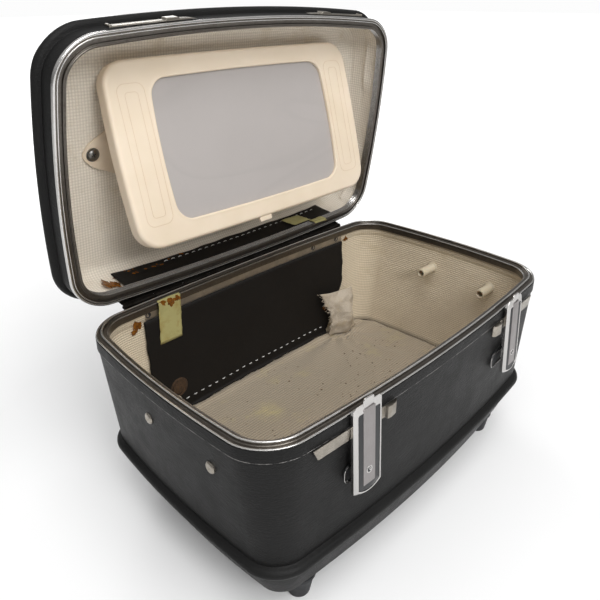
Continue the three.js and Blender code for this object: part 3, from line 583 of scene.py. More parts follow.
def rim_metal():
    """Drawn metal, bright on its rubbed crests and ridges, partly really polished and partly painted
    highlight, and dull brown where dirt sits in its channels.
    """
    look = Look("rim_metal")
    mm = look.millimetres()
    polish_and_highlight = look.painted("polish_and_highlight")
    cloud = look.noise(mm, 0.045, 5, 0.7)
    drawn = look.noise(look.stretch(look.place("UV"), (0.02, 4.5, 1)), 1.0, 3, 0.7)
    grime_and_crease_shade = look.step(look.noise(mm, 0.3, 5, 0.75), 0.5, 0.72)
    patchy = look.times(grime_and_crease_shade, look.step(polish_and_highlight, 0, 1, 0.75, 0.12))
    metal = look.mix(cloud, (0.20, 0.185, 0.165), (0.115, 0.10, 0.085))
    bright = look.mix(cloud, (0.80, 0.79, 0.78), (0.55, 0.53, 0.50))
    # Painted highlight, where the metal is also partly polished: the marked rows take the bright colour.
    base = look.mix(polish_and_highlight, metal, bright)
    look.set(
        base_color=look.mix(patchy, base, (0.045, 0.033, 0.024)),
        metallic=look.step(patchy, 0, 1, 1.0, 0.3),
        roughness=look.step(look.math("ADD", drawn, look.times(polish_and_highlight, -0.3)), 0.1, 0.7, 0.16, 0.42),
        normal=look.bump(drawn, 0.06, 0.5),
    )
    return look.material


def brushed_metal():
    look = Look("brushed_metal")
    mm = look.millimetres()
    lines = look.noise(look.stretch(mm, (5, 5, 0.09)), 1.0, 3, 0.8)
    cloud = look.noise(mm, 0.1, 3)
    look.set(
        base_color=look.mix(lines, (0.25, 0.232, 0.228), (0.44, 0.415, 0.41)),
        metallic=0.95,
        roughness=look.step(cloud, 0.3, 0.7, 0.36, 0.48),
        normal=look.bump(lines, 0.05, 0.6),
    )
    return look.material


def chrome():
    look = Look("chrome")
    mm = look.millimetres()
    haze = look.noise(mm, 0.12, 5, 0.7)
    pits = look.step(look.noise(mm, 1.4, 4, 0.8), 0.67, 0.74)
    look.set(
        base_color=look.mix(look.times(pits, 0.5), (0.60, 0.585, 0.57), (0.12, 0.10, 0.09)),
        metallic=1.0,
        roughness=look.step(haze, 0.3, 0.75, 0.09, 0.26),
        normal=look.bump(look.noise(mm, 0.25, 3), 0.04, 0.3),
    )
    return look.material


def dark_inlay():
    look = Look("dark_inlay")
    mm = look.millimetres()
    speckle = look.noise(mm, 2.2, 3, 0.7)
    look.set(
        base_color=look.mix(speckle, (0.014, 0.0145, 0.0155), (0.034, 0.035, 0.037)),
        roughness=look.step(speckle, 0.3, 0.7, 0.38, 0.55),
        normal=look.bump(speckle, 0.06, 0.5),
    )
    return look.material


def woven_lining(name, pale, shade, pitch, ribs, stain, dirt):
    """Cream embossed lining: ribs along the rows, weaker ones across, with yellowed patches and specks, and
    painted shade where the mesh marks a crease.
    """
    look = Look(name)
    uv = look.place("UV")
    mm = look.millimetres()
    wobble = look.node("ShaderNodeVectorMath", {0: uv, 1: look.node(
        "ShaderNodeVectorMath",
        {0: look.node("ShaderNodeTexNoise", {"Vector": mm, "Scale": 0.06}, "Color"), "Scale": 0.9},
        operation="SCALE",
    )}, operation="ADD")
    across = look.math("SINE", look.times(look.axis(wobble, 0), 2 * math.pi / pitch[0]))
    along = look.math("SINE", look.times(look.axis(wobble, 1), 2 * math.pi / pitch[1]))
    across_01 = look.step(across, -1, 0.6)
    along_01 = look.step(along, -1, 0.6)
    weave = look.math(
        "MULTIPLY",
        look.step(along_01, 0, 1, 1 - ribs[1], 1),
        look.step(across_01, 0, 1, 1 - ribs[0], 1),
    )
    thread = look.noise(mm, 3.2, 3, 0.7)
    cloud = look.noise(mm, 0.014, 4, 0.6)
    yellow = look.step(look.noise(mm, 0.03, 4, 0.7), 0.56, 0.74)
    cloth = look.mix(look.step(weave, 0.15, 0.95), shade, pale)
    spill = look.painted("spill")
    aged = look.mix(look.math("ADD", look.times(yellow, 0.45), spill), cloth, stain)
    dim = look.mix(look.step(cloud, 0.35, 0.7, 0.0, 0.28), aged, shade)
    grit = look.step(look.cells(mm, 0.13), 0.10, 0.15, 1.0, 0.0)
    scattered = look.times(grit, look.step(look.noise(mm, 0.025, 3), 0.50, 0.58))
    smudge = look.step(look.noise(mm, 0.3, 5, 0.8), 0.68, 0.80, 0.0, 0.22)
    specks = look.times(look.math("ADD", scattered, smudge), dirt)
    dotted = look.mix(specks, dim, (0.10, 0.065, 0.035))
    # Painted shade: darkens the cloth where the mesh marks the crease between floor pad and wall.
    grime_and_crease_shade = look.painted("grime_and_crease_shade")
    crease_shaded = look.mix(look.times(grime_and_crease_shade, 0.85), dotted, (0.07, 0.048, 0.03))
    first = look.bump(weave, 0.55, 0.85)
    look.set(
        base_color=crease_shaded,
        roughness=0.85,
        normal=look.bump(thread, 0.1, 0.4, first),
    )
    look.surface.inputs["Sheen Weight"].default_value = 0.15
    return look.material


def moulded_cream(name, light, dark, roughness):
    """Aged cream plastic: fine moulding texture, slight yellowing, faint rubbed marks."""
    look = Look(name)
    mm = look.millimetres()
    cloud = look.noise(mm, 0.02, 3)
    rubbed = look.stretch(mm, (0.12, 0.12, 0.7), (0.5, 0.3, 0.4))
    marks = look.step(look.noise(rubbed, 1.0, 5, 0.8), 0.64, 0.76)
    tint = look.mix(look.step(cloud, 0.35, 0.7), light, dark)
    look.set(
        base_color=look.mix(look.times(marks, 0.12), tint, (0.35, 0.27, 0.19)),
        roughness=look.step(look.noise(mm, 0.2, 4), 0.3, 0.7, *roughness),
        normal=look.bump(look.noise(mm, 2.5, 3, 0.6), 0.06, 0.4),
    )
    look.surface.inputs["Subsurface Weight"].default_value = 0.04
    return look.material


def fibre_board():
    """Dark backing board: fine fibres, a little lint and a rubbed surface."""
    look = Look("fibre_board")
    mm = look.millimetres()
    fibres = look.noise(look.stretch(mm, (1.2, 1.2, 1.2)), 1.0, 5, 0.8)
    lint = look.step(look.noise(mm, 1.1, 4, 0.8), 0.72, 0.76)
    cloud = look.noise(mm, 0.02, 4, 0.7)
    tint = look.mix(cloud, (0.0060, 0.0050, 0.0043), (0.0105, 0.0088, 0.0075))
    look.set(
        base_color=look.mix(look.times(lint, 0.3), tint, (0.10, 0.085, 0.07)),
        roughness=look.step(cloud, 0.3, 0.7, 0.55, 0.75),
        normal=look.bump(fibres, 0.18, 0.6),
    )
    look.surface.inputs["Specular IOR Level"].default_value = 0.2
    return look.material


def mirror_silver_painted_reflection():
    """Old silvered glass under a dusty film, with one long wiped streak; its even grey colour is a painted
    reflection, with only a weak real one on top.
    """
    look = Look("mirror_silver_painted_reflection")
    mm = look.millimetres()
    haze = look.noise(mm, 0.02, 4, 0.6)
    swirl = look.noise(look.stretch(mm, (0.004, 0.012, 0.012), (0, 0.7, 0)), 1.0, 2, 0.4, 0.8)
    streak = look.step(swirl, 0.50, 0.515)
    edge = look.step(swirl, 0.515, 0.55, 1.0, 0.0)
    wiped = look.times(streak, edge)
    dusted = look.step(haze, 0.3, 0.75, 0.93, 1.0)
    film = look.math("SUBTRACT", dusted, look.times(wiped, 0.07))
    # Painted reflection: the glass is given an even grey colour and little metallic shine.
    look.set(
        base_color=look.mix(film, (0.25, 0.235, 0.225), (0.46, 0.427, 0.41)),
        metallic=0.12,
        roughness=look.step(film, 0.8, 1.0, 0.3, 0.38),
    )
    return look.material


def old_tape():
    look = Look("old_tape")
    mm = look.millimetres()
    crinkle = look.noise(mm, 0.12, 4, 0.6, 0.8)
    glue = look.step(look.noise(mm, 0.07, 4, 0.7), 0.52, 0.7)
    look.set(
        base_color=look.mix(look.times(glue, 0.6), (0.40, 0.365, 0.155), (0.30, 0.21, 0.05)),
        roughness=look.step(crinkle, 0.3, 0.7, 0.35, 0.6),
        normal=look.bump(crinkle, 1.2, 0.7),
    )
    return look.material


def amber_glue():
    look = Look("amber_glue")
    mm = look.millimetres()
    thick = look.noise(mm, 0.35, 4, 0.7)
    look.set(
        base_color=look.mix(look.step(thick, 0.35, 0.65), (0.26, 0.09, 0.007), (0.065, 0.021, 0.004)),
        roughness=0.22,
        normal=look.bump(thick, 0.5, 0.7),
    )
    return look.material


def rust():
    look = Look("rust")
    mm = look.millimetres()
    flakes = look.noise(mm, 0.55, 5, 0.75)
    look.set(
        base_color=look.mix(look.step(flakes, 0.35, 0.65), (0.016, 0.009, 0.004), (0.075, 0.036, 0.013)),
        roughness=0.7,
        normal=look.bump(flakes, 0.8, 0.8),
    )
    return look.material


def crumb_dirt():
    look = Look("crumb_dirt")
    grit = look.noise(look.millimetres(), 0.4, 3)
    look.set(
        base_color=look.mix(look.step(grit, 0.35, 0.65), (0.035, 0.02, 0.01), (0.12, 0.07, 0.03)),
        roughness=look.step(grit, 0.3, 0.7, 0.6, 0.85),
        normal=look.bump(grit, 0.3, 0.3),
    )
    return look.material


def stitch_thread():
    look = Look("stitch_thread")
    mm = look.millimetres()
    ply = look.node("ShaderNodeTexWave", {"Vector": mm, "Scale": 1.4, "Distortion": 1.5})
    look.set(
        base_color=look.mix(ply, (0.52, 0.52, 0.50), (0.82, 0.82, 0.80)),
        roughness=0.8,
        normal=look.bump(ply, 0.15, 0.7),
    )
    return look.material


def torn_cloth():
    """The lining's backing cloth, cotton white with yellowed, dirty folds."""
    look = Look("torn_cloth")
    uv = look.place("UV")
    mm = look.millimetres()
    warp = look.math("SINE", look.times(look.axis(uv, 0), 2 * math.pi / 0.9))
    weft = look.math("SINE", look.times(look.axis(uv, 1), 2 * math.pi / 0.9))
    weave = look.step(look.times(warp, weft), -1, 1)
    dirt = look.step(look.noise(mm, 0.07, 5, 0.7), 0.5, 0.75)
    cloth = look.mix(weave, (0.36, 0.305, 0.235), (0.56, 0.49, 0.40))
    look.set(
        base_color=look.mix(look.times(dirt, 0.5), cloth, (0.42, 0.31, 0.15)),
        roughness=0.9,
        normal=look.bump(weave, 0.2, 0.6),
    )
    return look.material


def pale_floor():
    """A pale floor that brightens with distance, so no horizon shows."""
    look = Look("pale_floor")
    mm = look.millimetres()
    away = look.node("ShaderNodeVectorMath", {0: look.place()}, 1, operation="LENGTH")
    seen = look.node("ShaderNodeLightPath", output="Is Camera Ray")
    glow = look.times(look.step(away, 0.35, 1.9, 0.10, 0.9), seen)
    look.set(
        base_color=look.mix(look.noise(mm, 0.004, 3), (0.80, 0.80, 0.80), (0.83, 0.83, 0.83)),
        roughness=0.7,
        emission_color=(1.0, 1.0, 1.0),
        emission_strength=glow,
    )
    return look.material


SHELL = grained_shell()
RUBBER = foot_rubber()
RIM = rim_metal()
CHROME = chrome()
HINGE_STEEL = worn_metal("hinge_steel", (0.030, 0.027, 0.024), (0.014, 0.012, 0.010), (0.62, 0.78), 0.7)
NICKEL = worn_metal("nickel", (0.44, 0.405, 0.35), (0.26, 0.235, 0.20), (0.22, 0.38))
STRIP = worn_metal("dull_strip", (0.58, 0.54, 0.49), (0.40, 0.37, 0.33), (0.32, 0.5), 0.5)
STEEL = worn_metal("dark_steel", (0.30, 0.30, 0.29), (0.18, 0.175, 0.165), (0.3, 0.5), 0.5)
BRUSHED = brushed_metal()
INLAY = dark_inlay()
LINING_BASE = woven_lining(
    "ribbed_lining", pale=(0.74, 0.635, 0.48), shade=(0.52, 0.44, 0.315),
    pitch=(2.2, 2.3), ribs=(0.35, 0.8), stain=(0.48, 0.38, 0.22), dirt=0.2,
)
LINING_FLOOR = woven_lining(
    "floor_lining", pale=(0.40, 0.335, 0.25), shade=(0.285, 0.233, 0.168),
    pitch=(3.0, 2.9), ribs=(0.25, 0.7), stain=(0.50, 0.42, 0.20), dirt=0.8,
)
LINING_LID = woven_lining(
    "dimpled_lining", pale=(0.94, 0.87, 0.76), shade=(0.70, 0.635, 0.54),
    pitch=(2.7, 2.7), ribs=(0.6, 0.6), stain=(0.60, 0.50, 0.34), dirt=0.15,
)
CREAM = moulded_cream("cream_plastic", (0.80, 0.665, 0.52), (0.75, 0.615, 0.465), (0.40, 0.52))
CREAM_LINE = moulded_cream("cream_line", (0.72, 0.565, 0.415), (0.66, 0.51, 0.365), (0.4, 0.5))
PEG = moulded_cream("peg_plastic", (0.55, 0.47, 0.345), (0.48, 0.405, 0.295), (0.4, 0.52))
BOARD = fibre_board()
SILVER_PAINTED_REFLECTION = mirror_silver_painted_reflection()
TAPE = old_tape()
GLUE = amber_glue()
THREAD = stitch_thread()
CRUMB = crumb_dirt()
RUST = rust()
TORN = torn_cloth()

# ------------------------------------------------------------------ base shell

SHELL_TOP = -1.2
SHELL_FOOT = WALL_FOOT - BEAD_HEIGHT
LINING_OUT = -SKIN - GAP
LINING_IN = LINING_OUT - LINING


def build_base_shell():
    profile = [
        (-SKIN, SHELL_TOP, 0),
        (1, SHELL_TOP, 0.5),
        (1, 0.9 - COLLAR_HEIGHT, 0.2),
        (1, 0.1 - COLLAR_HEIGHT, 0.2),
        (0, -COLLAR_HEIGHT - 0.3, 0.2),
        (0, -COLLAR_HEIGHT - 1.2, 0.2),
        (0, -40, 1),
        (0, -75, 1),
        (0, WALL_FOOT + 4, 3),
        (-0.8, WALL_FOOT + 0.6, 0.4),
        *bead(WALL_FOOT, SHELL_FOOT),
        (-SKIN, SHELL_FOOT, 0),
        (-SKIN, WALL_FOOT, 0),
        (-SKIN, -COLLAR_HEIGHT, 0),
    ]
    rows = soften(profile, True)
    mesh = grid_mesh([wall_row(body_lean, out, z) for out, z in rows], True, True)
    paint_rows(mesh, "seam", [1.0 if abs(z + COLLAR_HEIGHT) < 0.5 else 0.0 for _, z in rows])
    finish_mesh("base_shell_skin", mesh, "base", BASE, SHELL, ["base_shell"])


def pan_row(out_x, out_y, z):
    """A row of the pan, which draws in further at its ends than at its front and back."""
    lean_x, lean_y, radius = body_lean(z)
    corner = radius + (out_x + out_y) * 0.35
    flat = outline(HALF_WIDTH + lean_x + out_x, HALF_DEPTH + lean_y + out_y, corner, CASE_BOW)
    return [Vector((x, y, z)) for x, y in flat]


def build_bottom_pan():
    top = SHELL_FOOT - GAP
    inside = [(-22, PAN_BOTTOM + 2.8), (-17.5, PAN_BOTTOM + 3.6), (-13.5, -142), (-11.2, PAN_LEDGE - 1),
              (-11.2, PAN_LEDGE), (-7.4, PAN_LEDGE), (-3.3, top)]
    rows = [wall_row(body_lean, out, z) for out, z in inside]
    ends = soften([(-0.4, top, 0), (-1.0, top - 1.2, 0.6), (-5.0, -133, 8), (-13.6, PAN_BOTTOM, 5.5),
                   (-23, PAN_BOTTOM, 0)], False, 7)
    long_sides = soften([(-0.4, top, 0), (-1.0, top - 1.2, 0.6), (-3.8, -133, 8), (-9.7, PAN_BOTTOM, 5.5),
                         (-19, PAN_BOTTOM, 0)], False, 7)
    rows += [pan_row(a.x, b.x, a.y) for a, b in zip(ends, long_sides)]
    mesh = grid_mesh(rows, wrap=True, caps=[(0, 10), (0, 10)])
    finish_mesh("bottom_pan_skin", mesh, "base", BASE, SHELL, ["bottom_pan"])


def build_feet():
    top = PAN_BOTTOM - GAP
    side = [
        (6, FOOT_TIP, 0),
        (9, FOOT_TIP, 1.4),
        (12.4, top - 4, 1.5),
        (14, top - 2.6, 0.8),
        (14, top, 0.6),
        (11, top, 0),
    ]
    profile = [(0, FOOT_TIP), *[tuple(point) for point in soften(side, False)], (0, top)]
    for side, sx in SIDES:
        for end, sy in (("front", -1), ("rear", 1)):
            name = f"foot_{end}_{side}"
            mesh = moved(lathe_mesh(profile), Matrix.Translation((sx * FOOT_X, sy * FOOT_Y, 0)))
            finish_mesh(name + "_moulded", mesh, "base", BASE, RUBBER, [name])


# ------------------------------------------------------------------ rims


def paint_rows(mesh, name, values):
    """Stores one number per row of a grid mesh, for its material to read."""
    layer = mesh.attributes.new(name, "FLOAT", "POINT")
    count = len(mesh.vertices) // len(values)
    layer.data.foreach_set("value", [value for value in values for _ in range(count)])


def paint_points(mesh, name, value_at):
    """Stores one number per vertex, worked out from its place."""
    layer = mesh.attributes.new(name, "FLOAT", "POINT")
    layer.data.foreach_set("value", [value_at(vertex.co) for vertex in mesh.vertices])


def base_rim_polish_and_highlight(out, z):
    """The outer lip and the tongue's crest are painted bright, partly polished by rubbing and partly painted
    highlight; the channels stay dull.
    """
    lip = out > -0.9 and z > -0.7
    crest = z > 1.9
    inner_edge = -8.9 < out < -8.0 and z > -0.9
    return 1.0 if lip or crest else 0.55 if inner_edge else 0.0


RIDGE_HEIGHTS = (1.9, 3.2, 4.5, 5.8, 7.1, 8.2)
RIDGE_CREST = -9.35


def lid_rim_polish_and_highlight(out, z):
    # The outer lip, the lower faces and the ridge crests are painted bright: partly polished by rubbing,
    # partly painted highlight.
    lip = out > -0.9
    ridges = z < 0.6 or out < -9.15
    return 1.0 if lip or ridges else 0.0


def build_rim(body, place, lean, profile, polish_and_highlight):
    rows = soften(profile, True)
    mesh = grid_mesh([wall_row(lean, out, z) for out, z in rows], True, True)
    paint_rows(mesh, "polish_and_highlight", [polish_and_highlight(out, z) for out, z in rows])
    finish_mesh(f"{body}_rim_extrusion", mesh, body, place, RIM, [f"{body}_rim_frame"])


def build_base_rim():
    """The base's extrusion: an outer lip, a tongue that the lid's channel fits, an inner edge."""
    under = SHELL_TOP + GAP
    profile = [
        (0.2, under, 0.2),
        (0.75, -0.6, 0.4),
        (0.6, 0.1, 0.4),
        (-0.5, 0.1, 0.3),
        (-0.9, -0.45, 0.3),
        (-3.0, -0.45, 0.3),
        (-3.4, 0.3, 0.3),
        (-3.4, 2.6, 0.8),
        (-5.0, 2.6, 0.8),
        (-5.0, 0.2, 0.3),
        (-5.5, -0.1, 0.2),
        (-8.2, -0.2, 0.3),
        (-9, -0.6, 0.5),
        (-9, -7, 0.3),
        (-8.3, -7, 0.3),
        (-8.3, under, 0.2),
    ]
    build_rim("base", BASE, body_lean, profile, base_rim_polish_and_highlight)


def build_lid_rim():
    """The lid's extrusion, with fine ridges along its inner wall."""
    over = LID_SHELL_EDGE - GAP
    ridges = []
    for z in RIDGE_HEIGHTS:
        ridges += [(-9, z - 0.3, 0), (RIDGE_CREST, z, 0.05), (-9, z + 0.3, 0)]
    profile = [
        (0.5, over, 0.2),
        (0.9, over - 0.8, 0.4),
        (0.9, 1.1, 0.5),
        (0.2, 0.4, 0.5),
        (-0.8, 0.4, 0.3),
        (-1.1, 0.8, 0.2),
        (-2.0, 0.8, 0.2),
        (-2.2, 0.4, 0.2),
        (-2.9, 0.4, 0.3),
        (-2.9, 3, 0.3),
        (-6.4, 3, 0.3),
        (-6.4, 0.7, 0.3),
        (-7.2, 0.7, 0.2),
        (-7.5, 1.1, 0.2),
        (-8.0, 0.7, 0.2),
        (-9, 1.1, 0.4),
        *ridges,
        (-9, 9, 0.3),
        (-8.2, 9, 0.3),
        (-8.2, over, 0.2),
    ]
    build_rim("lid", LID, lid_lean, profile, lid_rim_polish_and_highlight)


# ------------------------------------------------------------------ base lining and floor

FLAP_X = 118
FLAP_Y = 98
SPILL = Vector((-45, 44))  # a yellow stain on the floor
SPILL_RADIUS = 11
PAD_OUT = -9.0
PAD_THICKNESS = 2.1
PAD_RINGS = 60
CRUMBS = 90
BOARD_TOP = -14.4
BOARD_FOOT = -120.9
BOARD_LEFT = -136.5
BOARD_RIGHT = 134
BOARD_OUT = -8.2


def build_base_lining():
    """The wall lining, with a soft welt under the rim and slight bagging down the walls."""
    edge, foot = -1.5, FLOOR_TOP - 1.4
    welt = [
        (-5.3, -6.4), (-6.1, -7.6), (-6.9, -9.4), (-7.1, -11.2), (-6.6, -13.2), (-5.7, -14.6), (-5.35, -16)
    ]
    wall_top, wall_steps = -17, 34
    wall = []
    for step in range(wall_steps + 1):
        wall.append((LINING_IN, wall_top - (wall_top - WALL_FOOT) * step / wall_steps))
    cove = [(-5.6, -115), (-6.3, -119), (-7.2, -123), (-8.3, foot)]
    inner = [(LINING_IN, edge), (LINING_IN, -4), *welt, *wall, *cove]
    outer = [(-6.8, foot), (LINING_OUT, WALL_FOOT), (LINING_OUT, -COLLAR_HEIGHT), (LINING_OUT, edge)]
    rows = []
    for index, (out, z) in enumerate(inner + outer):
        row = wall_row(body_lean, out, z)
        if index < len(inner) and z < -14:
            row = [bagged(point) for point in row]
        rows.append(row)
    mesh = grid_mesh(rows, wrap=True, closed=True)
    # Painted shade along the foot of the right-hand wall, in the crease where the floor pad has come away.
    paint_points(mesh, "grime_and_crease_shade", lambda at: 0.8 * torn_side(at.x) * clamp((-123.4 - at.z) / 2.4))
    finish_mesh("base_lining_cloth", mesh, "base", BASE, LINING_BASE, ["base_lining"])


def bagged(point):
    """Pushes a lining point inwards a little where the cloth has come away from the wall."""
    inward = Vector((-point.x, -point.y, 0)).normalized()
    depth = 0.55 + ripple(point, 46, 0.9) + ripple(point, 17, 0.35, 3)
    fade = clamp((-14 - point.z) / 10) * clamp((point.z + 128) / 10)
    return point + inward * max(depth, 0) * fade


def torn_side(x):
    """How far a place is into the right-hand end, where floor and wall have come apart."""
    return clamp((x - 90) / 30)


def floor_height(x, y, edge):
    """Height of the padded floor: soft waves, puckers round the torn corner, a cove at the walls."""
    z = FLOOR_TOP + 0.7 + ripple((x, y, 0), 62, 0.9) + ripple((x, y, 0), 24, 0.35, 5)
    dx, dy = x - FLAP_X, y - FLAP_Y
    distance = math.hypot(dx, dy)
    angle = math.atan2(dy, dx)
    near = math.exp(-distance / 60)
    pucker = math.exp(-distance / 50) * 2.6 * math.sin(angle * 11 + ripple((x, y, 9), 30, 2.4))
    swell = 1.6 * math.exp(-((edge - 7) / 5) ** 2) * (1 - 0.8 * torn_side(x))
    crease = -(1.3 + 3.2 * near) * max(0, 1 - edge / (2.0 + 4 * near)) ** 2
    return z + pucker * clamp(distance / 12) + swell + crease


def spill_strength(point):
    distance = (point.xy - SPILL).length / SPILL_RADIUS
    return 0.8 * math.exp(-distance**2) * (0.7 + noise.noise(point * 0.15))


def way_in(share):
    """How far in a ring of the pad lies: the rings are closer together near the edge."""
    if share < 0.5:
        return 0.25 * share + 0.75 * share**2
    return share - 0.375 * (1 - share)


def build_floor_pad():
    """The padded floor, drawn as rings from its edge to its middle."""
    edge_row = wall_row(body_lean, PAD_OUT, FLOOR_TOP)
    rows = [[Vector((point.x, point.y, FLOOR_TOP - PAD_THICKNESS)) for point in edge_row]]
    for step in range(PAD_RINGS):
        shrink = 1 - way_in(step / PAD_RINGS)
        row = []
        for point in edge_row:
            x, y = point.x * shrink, point.y * shrink
            edge = (point.xy - Vector((x, y))).length
            row.append(Vector((x, y, floor_height(x, y, edge))))
        rows.append(row)
    mesh = grid_mesh(rows, wrap=True, caps=[(0, 2), (0, 1)])
    layer = mesh.uv_layers[0].data
    for loop in mesh.loops:
        layer[loop.index].uv = mesh.vertices[loop.vertex_index].co.xy
    paint_points(mesh, "spill", spill_strength)
    # Painted shade in a thin line along the pad's edge at the right-hand end, in the crease where it has come
    # away from the wall.
    grime_and_crease_shade = mesh.attributes.new("grime_and_crease_shade", "FLOAT", "POINT")
    for index, mark in enumerate(grime_and_crease_shade.data):
        spot = mesh.vertices[index].co.xy
        edge = (edge_row[index % len(edge_row)].xy - spot).length
        mark.value = torn_side(spot.x) * clamp(1.5 - edge / 1.3)
    finish_mesh("floor_pad_cloth", mesh, "base", BASE, LINING_FLOOR, ["floor_pad"])


def build_crumbs():
    """Dark crumbs scattered over the floor pad, thickest towards the torn corner."""
    chance = random.Random(8)
    work = bmesh.new()
    for _ in range(CRUMBS):
        x = chance.gauss(62, 42)
        y = chance.gauss(22, 34)
        if abs(x) > 160 or abs(y) > 84:
            continue
        size = chance.choice((0.35, 0.45, 0.6, 0.95))
        shape = turned((x, y, floor_height(x, y, 20) + 0.1), x, "Z")
        shape = shape @ Matrix.Diagonal((size * chance.uniform(0.8, 1.6), size, size * 0.5, 1))
        bmesh.ops.create_icosphere(work, subdivisions=1, radius=1, matrix=shape)
    finish_mesh("floor_crumbs", closed_mesh(work), "base", BASE, CRUMB)


def board_edge_right(z):
    """The board's right-hand edge, torn away towards the floor."""
    torn = clamp((-66 - z) / 56)
    return BOARD_RIGHT - 29 * torn + 2.2 * noise.noise(Vector((z * 0.11, 4.2, 0)))


def board_y(x, z):
    return wall_y(body_lean, 1, x, BOARD_OUT, z) + ripple((x, z, 0), 50, 0.5)


def build_back_board():
    """The backing board down the rear wall, curling on to the floor in a ragged cut edge."""
    columns, rows_down, rows_out = 120, 30, 8
    rows = []
    for j in range(rows_down + rows_out + 1):
        row = []
        for i in range(columns + 1):
            t = i / columns
            z = BOARD_TOP - (BOARD_TOP - BOARD_FOOT) * min(j, rows_down) / rows_down
            left = BOARD_LEFT + 1.2 * noise.noise(Vector((z * 0.08, 8.1, 0)))
            x = left + (board_edge_right(z) - left) * t
            y = board_y(x, z)
            if j > rows_down:
                curl = (j - rows_down) / rows_out
                ragged = 0.4 + 2.4 * noise.noise(Vector((x * 0.06, 1.7, 0)))
                ragged += 1.2 * noise.noise(Vector((x * 0.3, 3, 0)))
                turn = curl * math.pi / 2
                z -= 4.4 * math.sin(turn)
                y -= 3.0 * (1 - math.cos(turn)) + max(ragged, -1.5) * curl**2
            row.append(Vector((x, y, z)))
        rows.append(row)
    mesh = grid_mesh(rows)
    piece = finish_mesh("back_board_sheet", mesh, "base", BASE, BOARD, ["back_board"])
    thicken(piece, 1.2)


def thicken(piece, thickness, offset=-1):
    """Gives a sheet its thickness, in millimetres."""
    solidify = piece.modifiers.new("thickness", "SOLIDIFY")
    solidify.thickness = thickness * MM
    solidify.offset = offset


# ------------------------------------------------------------------ small repeated things


def thread_dash(start, end, sag, radius=0.42):
    """One stitch: a short thread that dips into the board at both ends."""
    start, end, sag = Vector(start), Vector(end), Vector(sag)
    forward = (end - start).normalized()
    side = forward.cross(sag).normalized()
    up = side.cross(forward)
    rows = []
    steps, around = 6, 8
    for i in range(steps + 1):
        t = i / steps
        lift = math.sin(t * math.pi)
        centre = start.lerp(end, t) + sag * lift
        size = radius * (0.55 + 0.45 * lift)
        ring = []
        for j in range(around):
            angle = 2 * math.pi * j / around
            ring.append(centre + size * (math.cos(angle) * side + math.sin(angle) * up))
        rows.append(ring)
    return tube_mesh(rows)


def tube_mesh(rings):
    """Skins closed rings of points and caps both ends."""
    work = bmesh.new()
    made = [[work.verts.new(point) for point in ring] for ring in rings]
    for low, high in zip(made, made[1:]):
        for j in range(len(low)):
            k = (j + 1) % len(low)
            work.faces.new((low[j], low[k], high[k], high[j]))
    work.faces.new(made[0])
    work.faces.new(made[-1])
    return closed_mesh(work)


STITCH_Z = -114.2
STITCHES = (-128.0, 100)
STITCH_PITCH = 9.3
STITCH_LENGTH = 3.7


def build_stitches():
    """A broken row of white stitches near the foot of the backing board."""
    dashes = []
    chance = random.Random(4)
    x, last = STITCHES
    while x < last:
        z = STITCH_Z + 0.5 * noise.noise(Vector((x * 0.05, 0, 0)))
        y = board_y(x, z) - 1.15
        tilt = chance.uniform(-0.5, 0.5)
        dashes.append(thread_dash((x, y, z), (x + STITCH_LENGTH, y, z + tilt), (0, -0.55, 0), 0.5))
        x += STITCH_PITCH + chance.uniform(-0.6, 0.6)
    mesh = merged(*dashes)
    finish_mesh("board_stitches", mesh, "base", BASE, THREAD)


def blob_mesh(centre, normal, size, seed, flatness):
    """A dried splash of glue: a lumpy, flattened drop with an uneven outline."""
    normal = Vector(normal).normalized()
    side = normal.orthogonal().normalized()
    up = normal.cross(side)
    centre = Vector(centre)
    rings, around = 7, 36
    rows = []
    for i in range(rings):
        share = 1 - i / rings
        row = []
        for j in range(around):
            angle = 2 * math.pi * j / around
            spread = Vector((math.cos(angle) * 1.4, math.sin(angle) * 1.4, seed))
            uneven = 0.72 + 0.5 * noise.noise(spread) + 0.22 * noise.noise(spread * 3.1)
            reach = size * share * uneven
            lumps = 0.8 + 0.5 * noise.noise(spread * 2 + Vector((i, 0, 0)))
            height = size * flatness * (1 - share**2) * lumps
            foot = centre + side * math.cos(angle) * reach + up * math.sin(angle) * reach
            row.append(foot + normal * height)
        rows.append(row)
    return tube_mesh(rows)


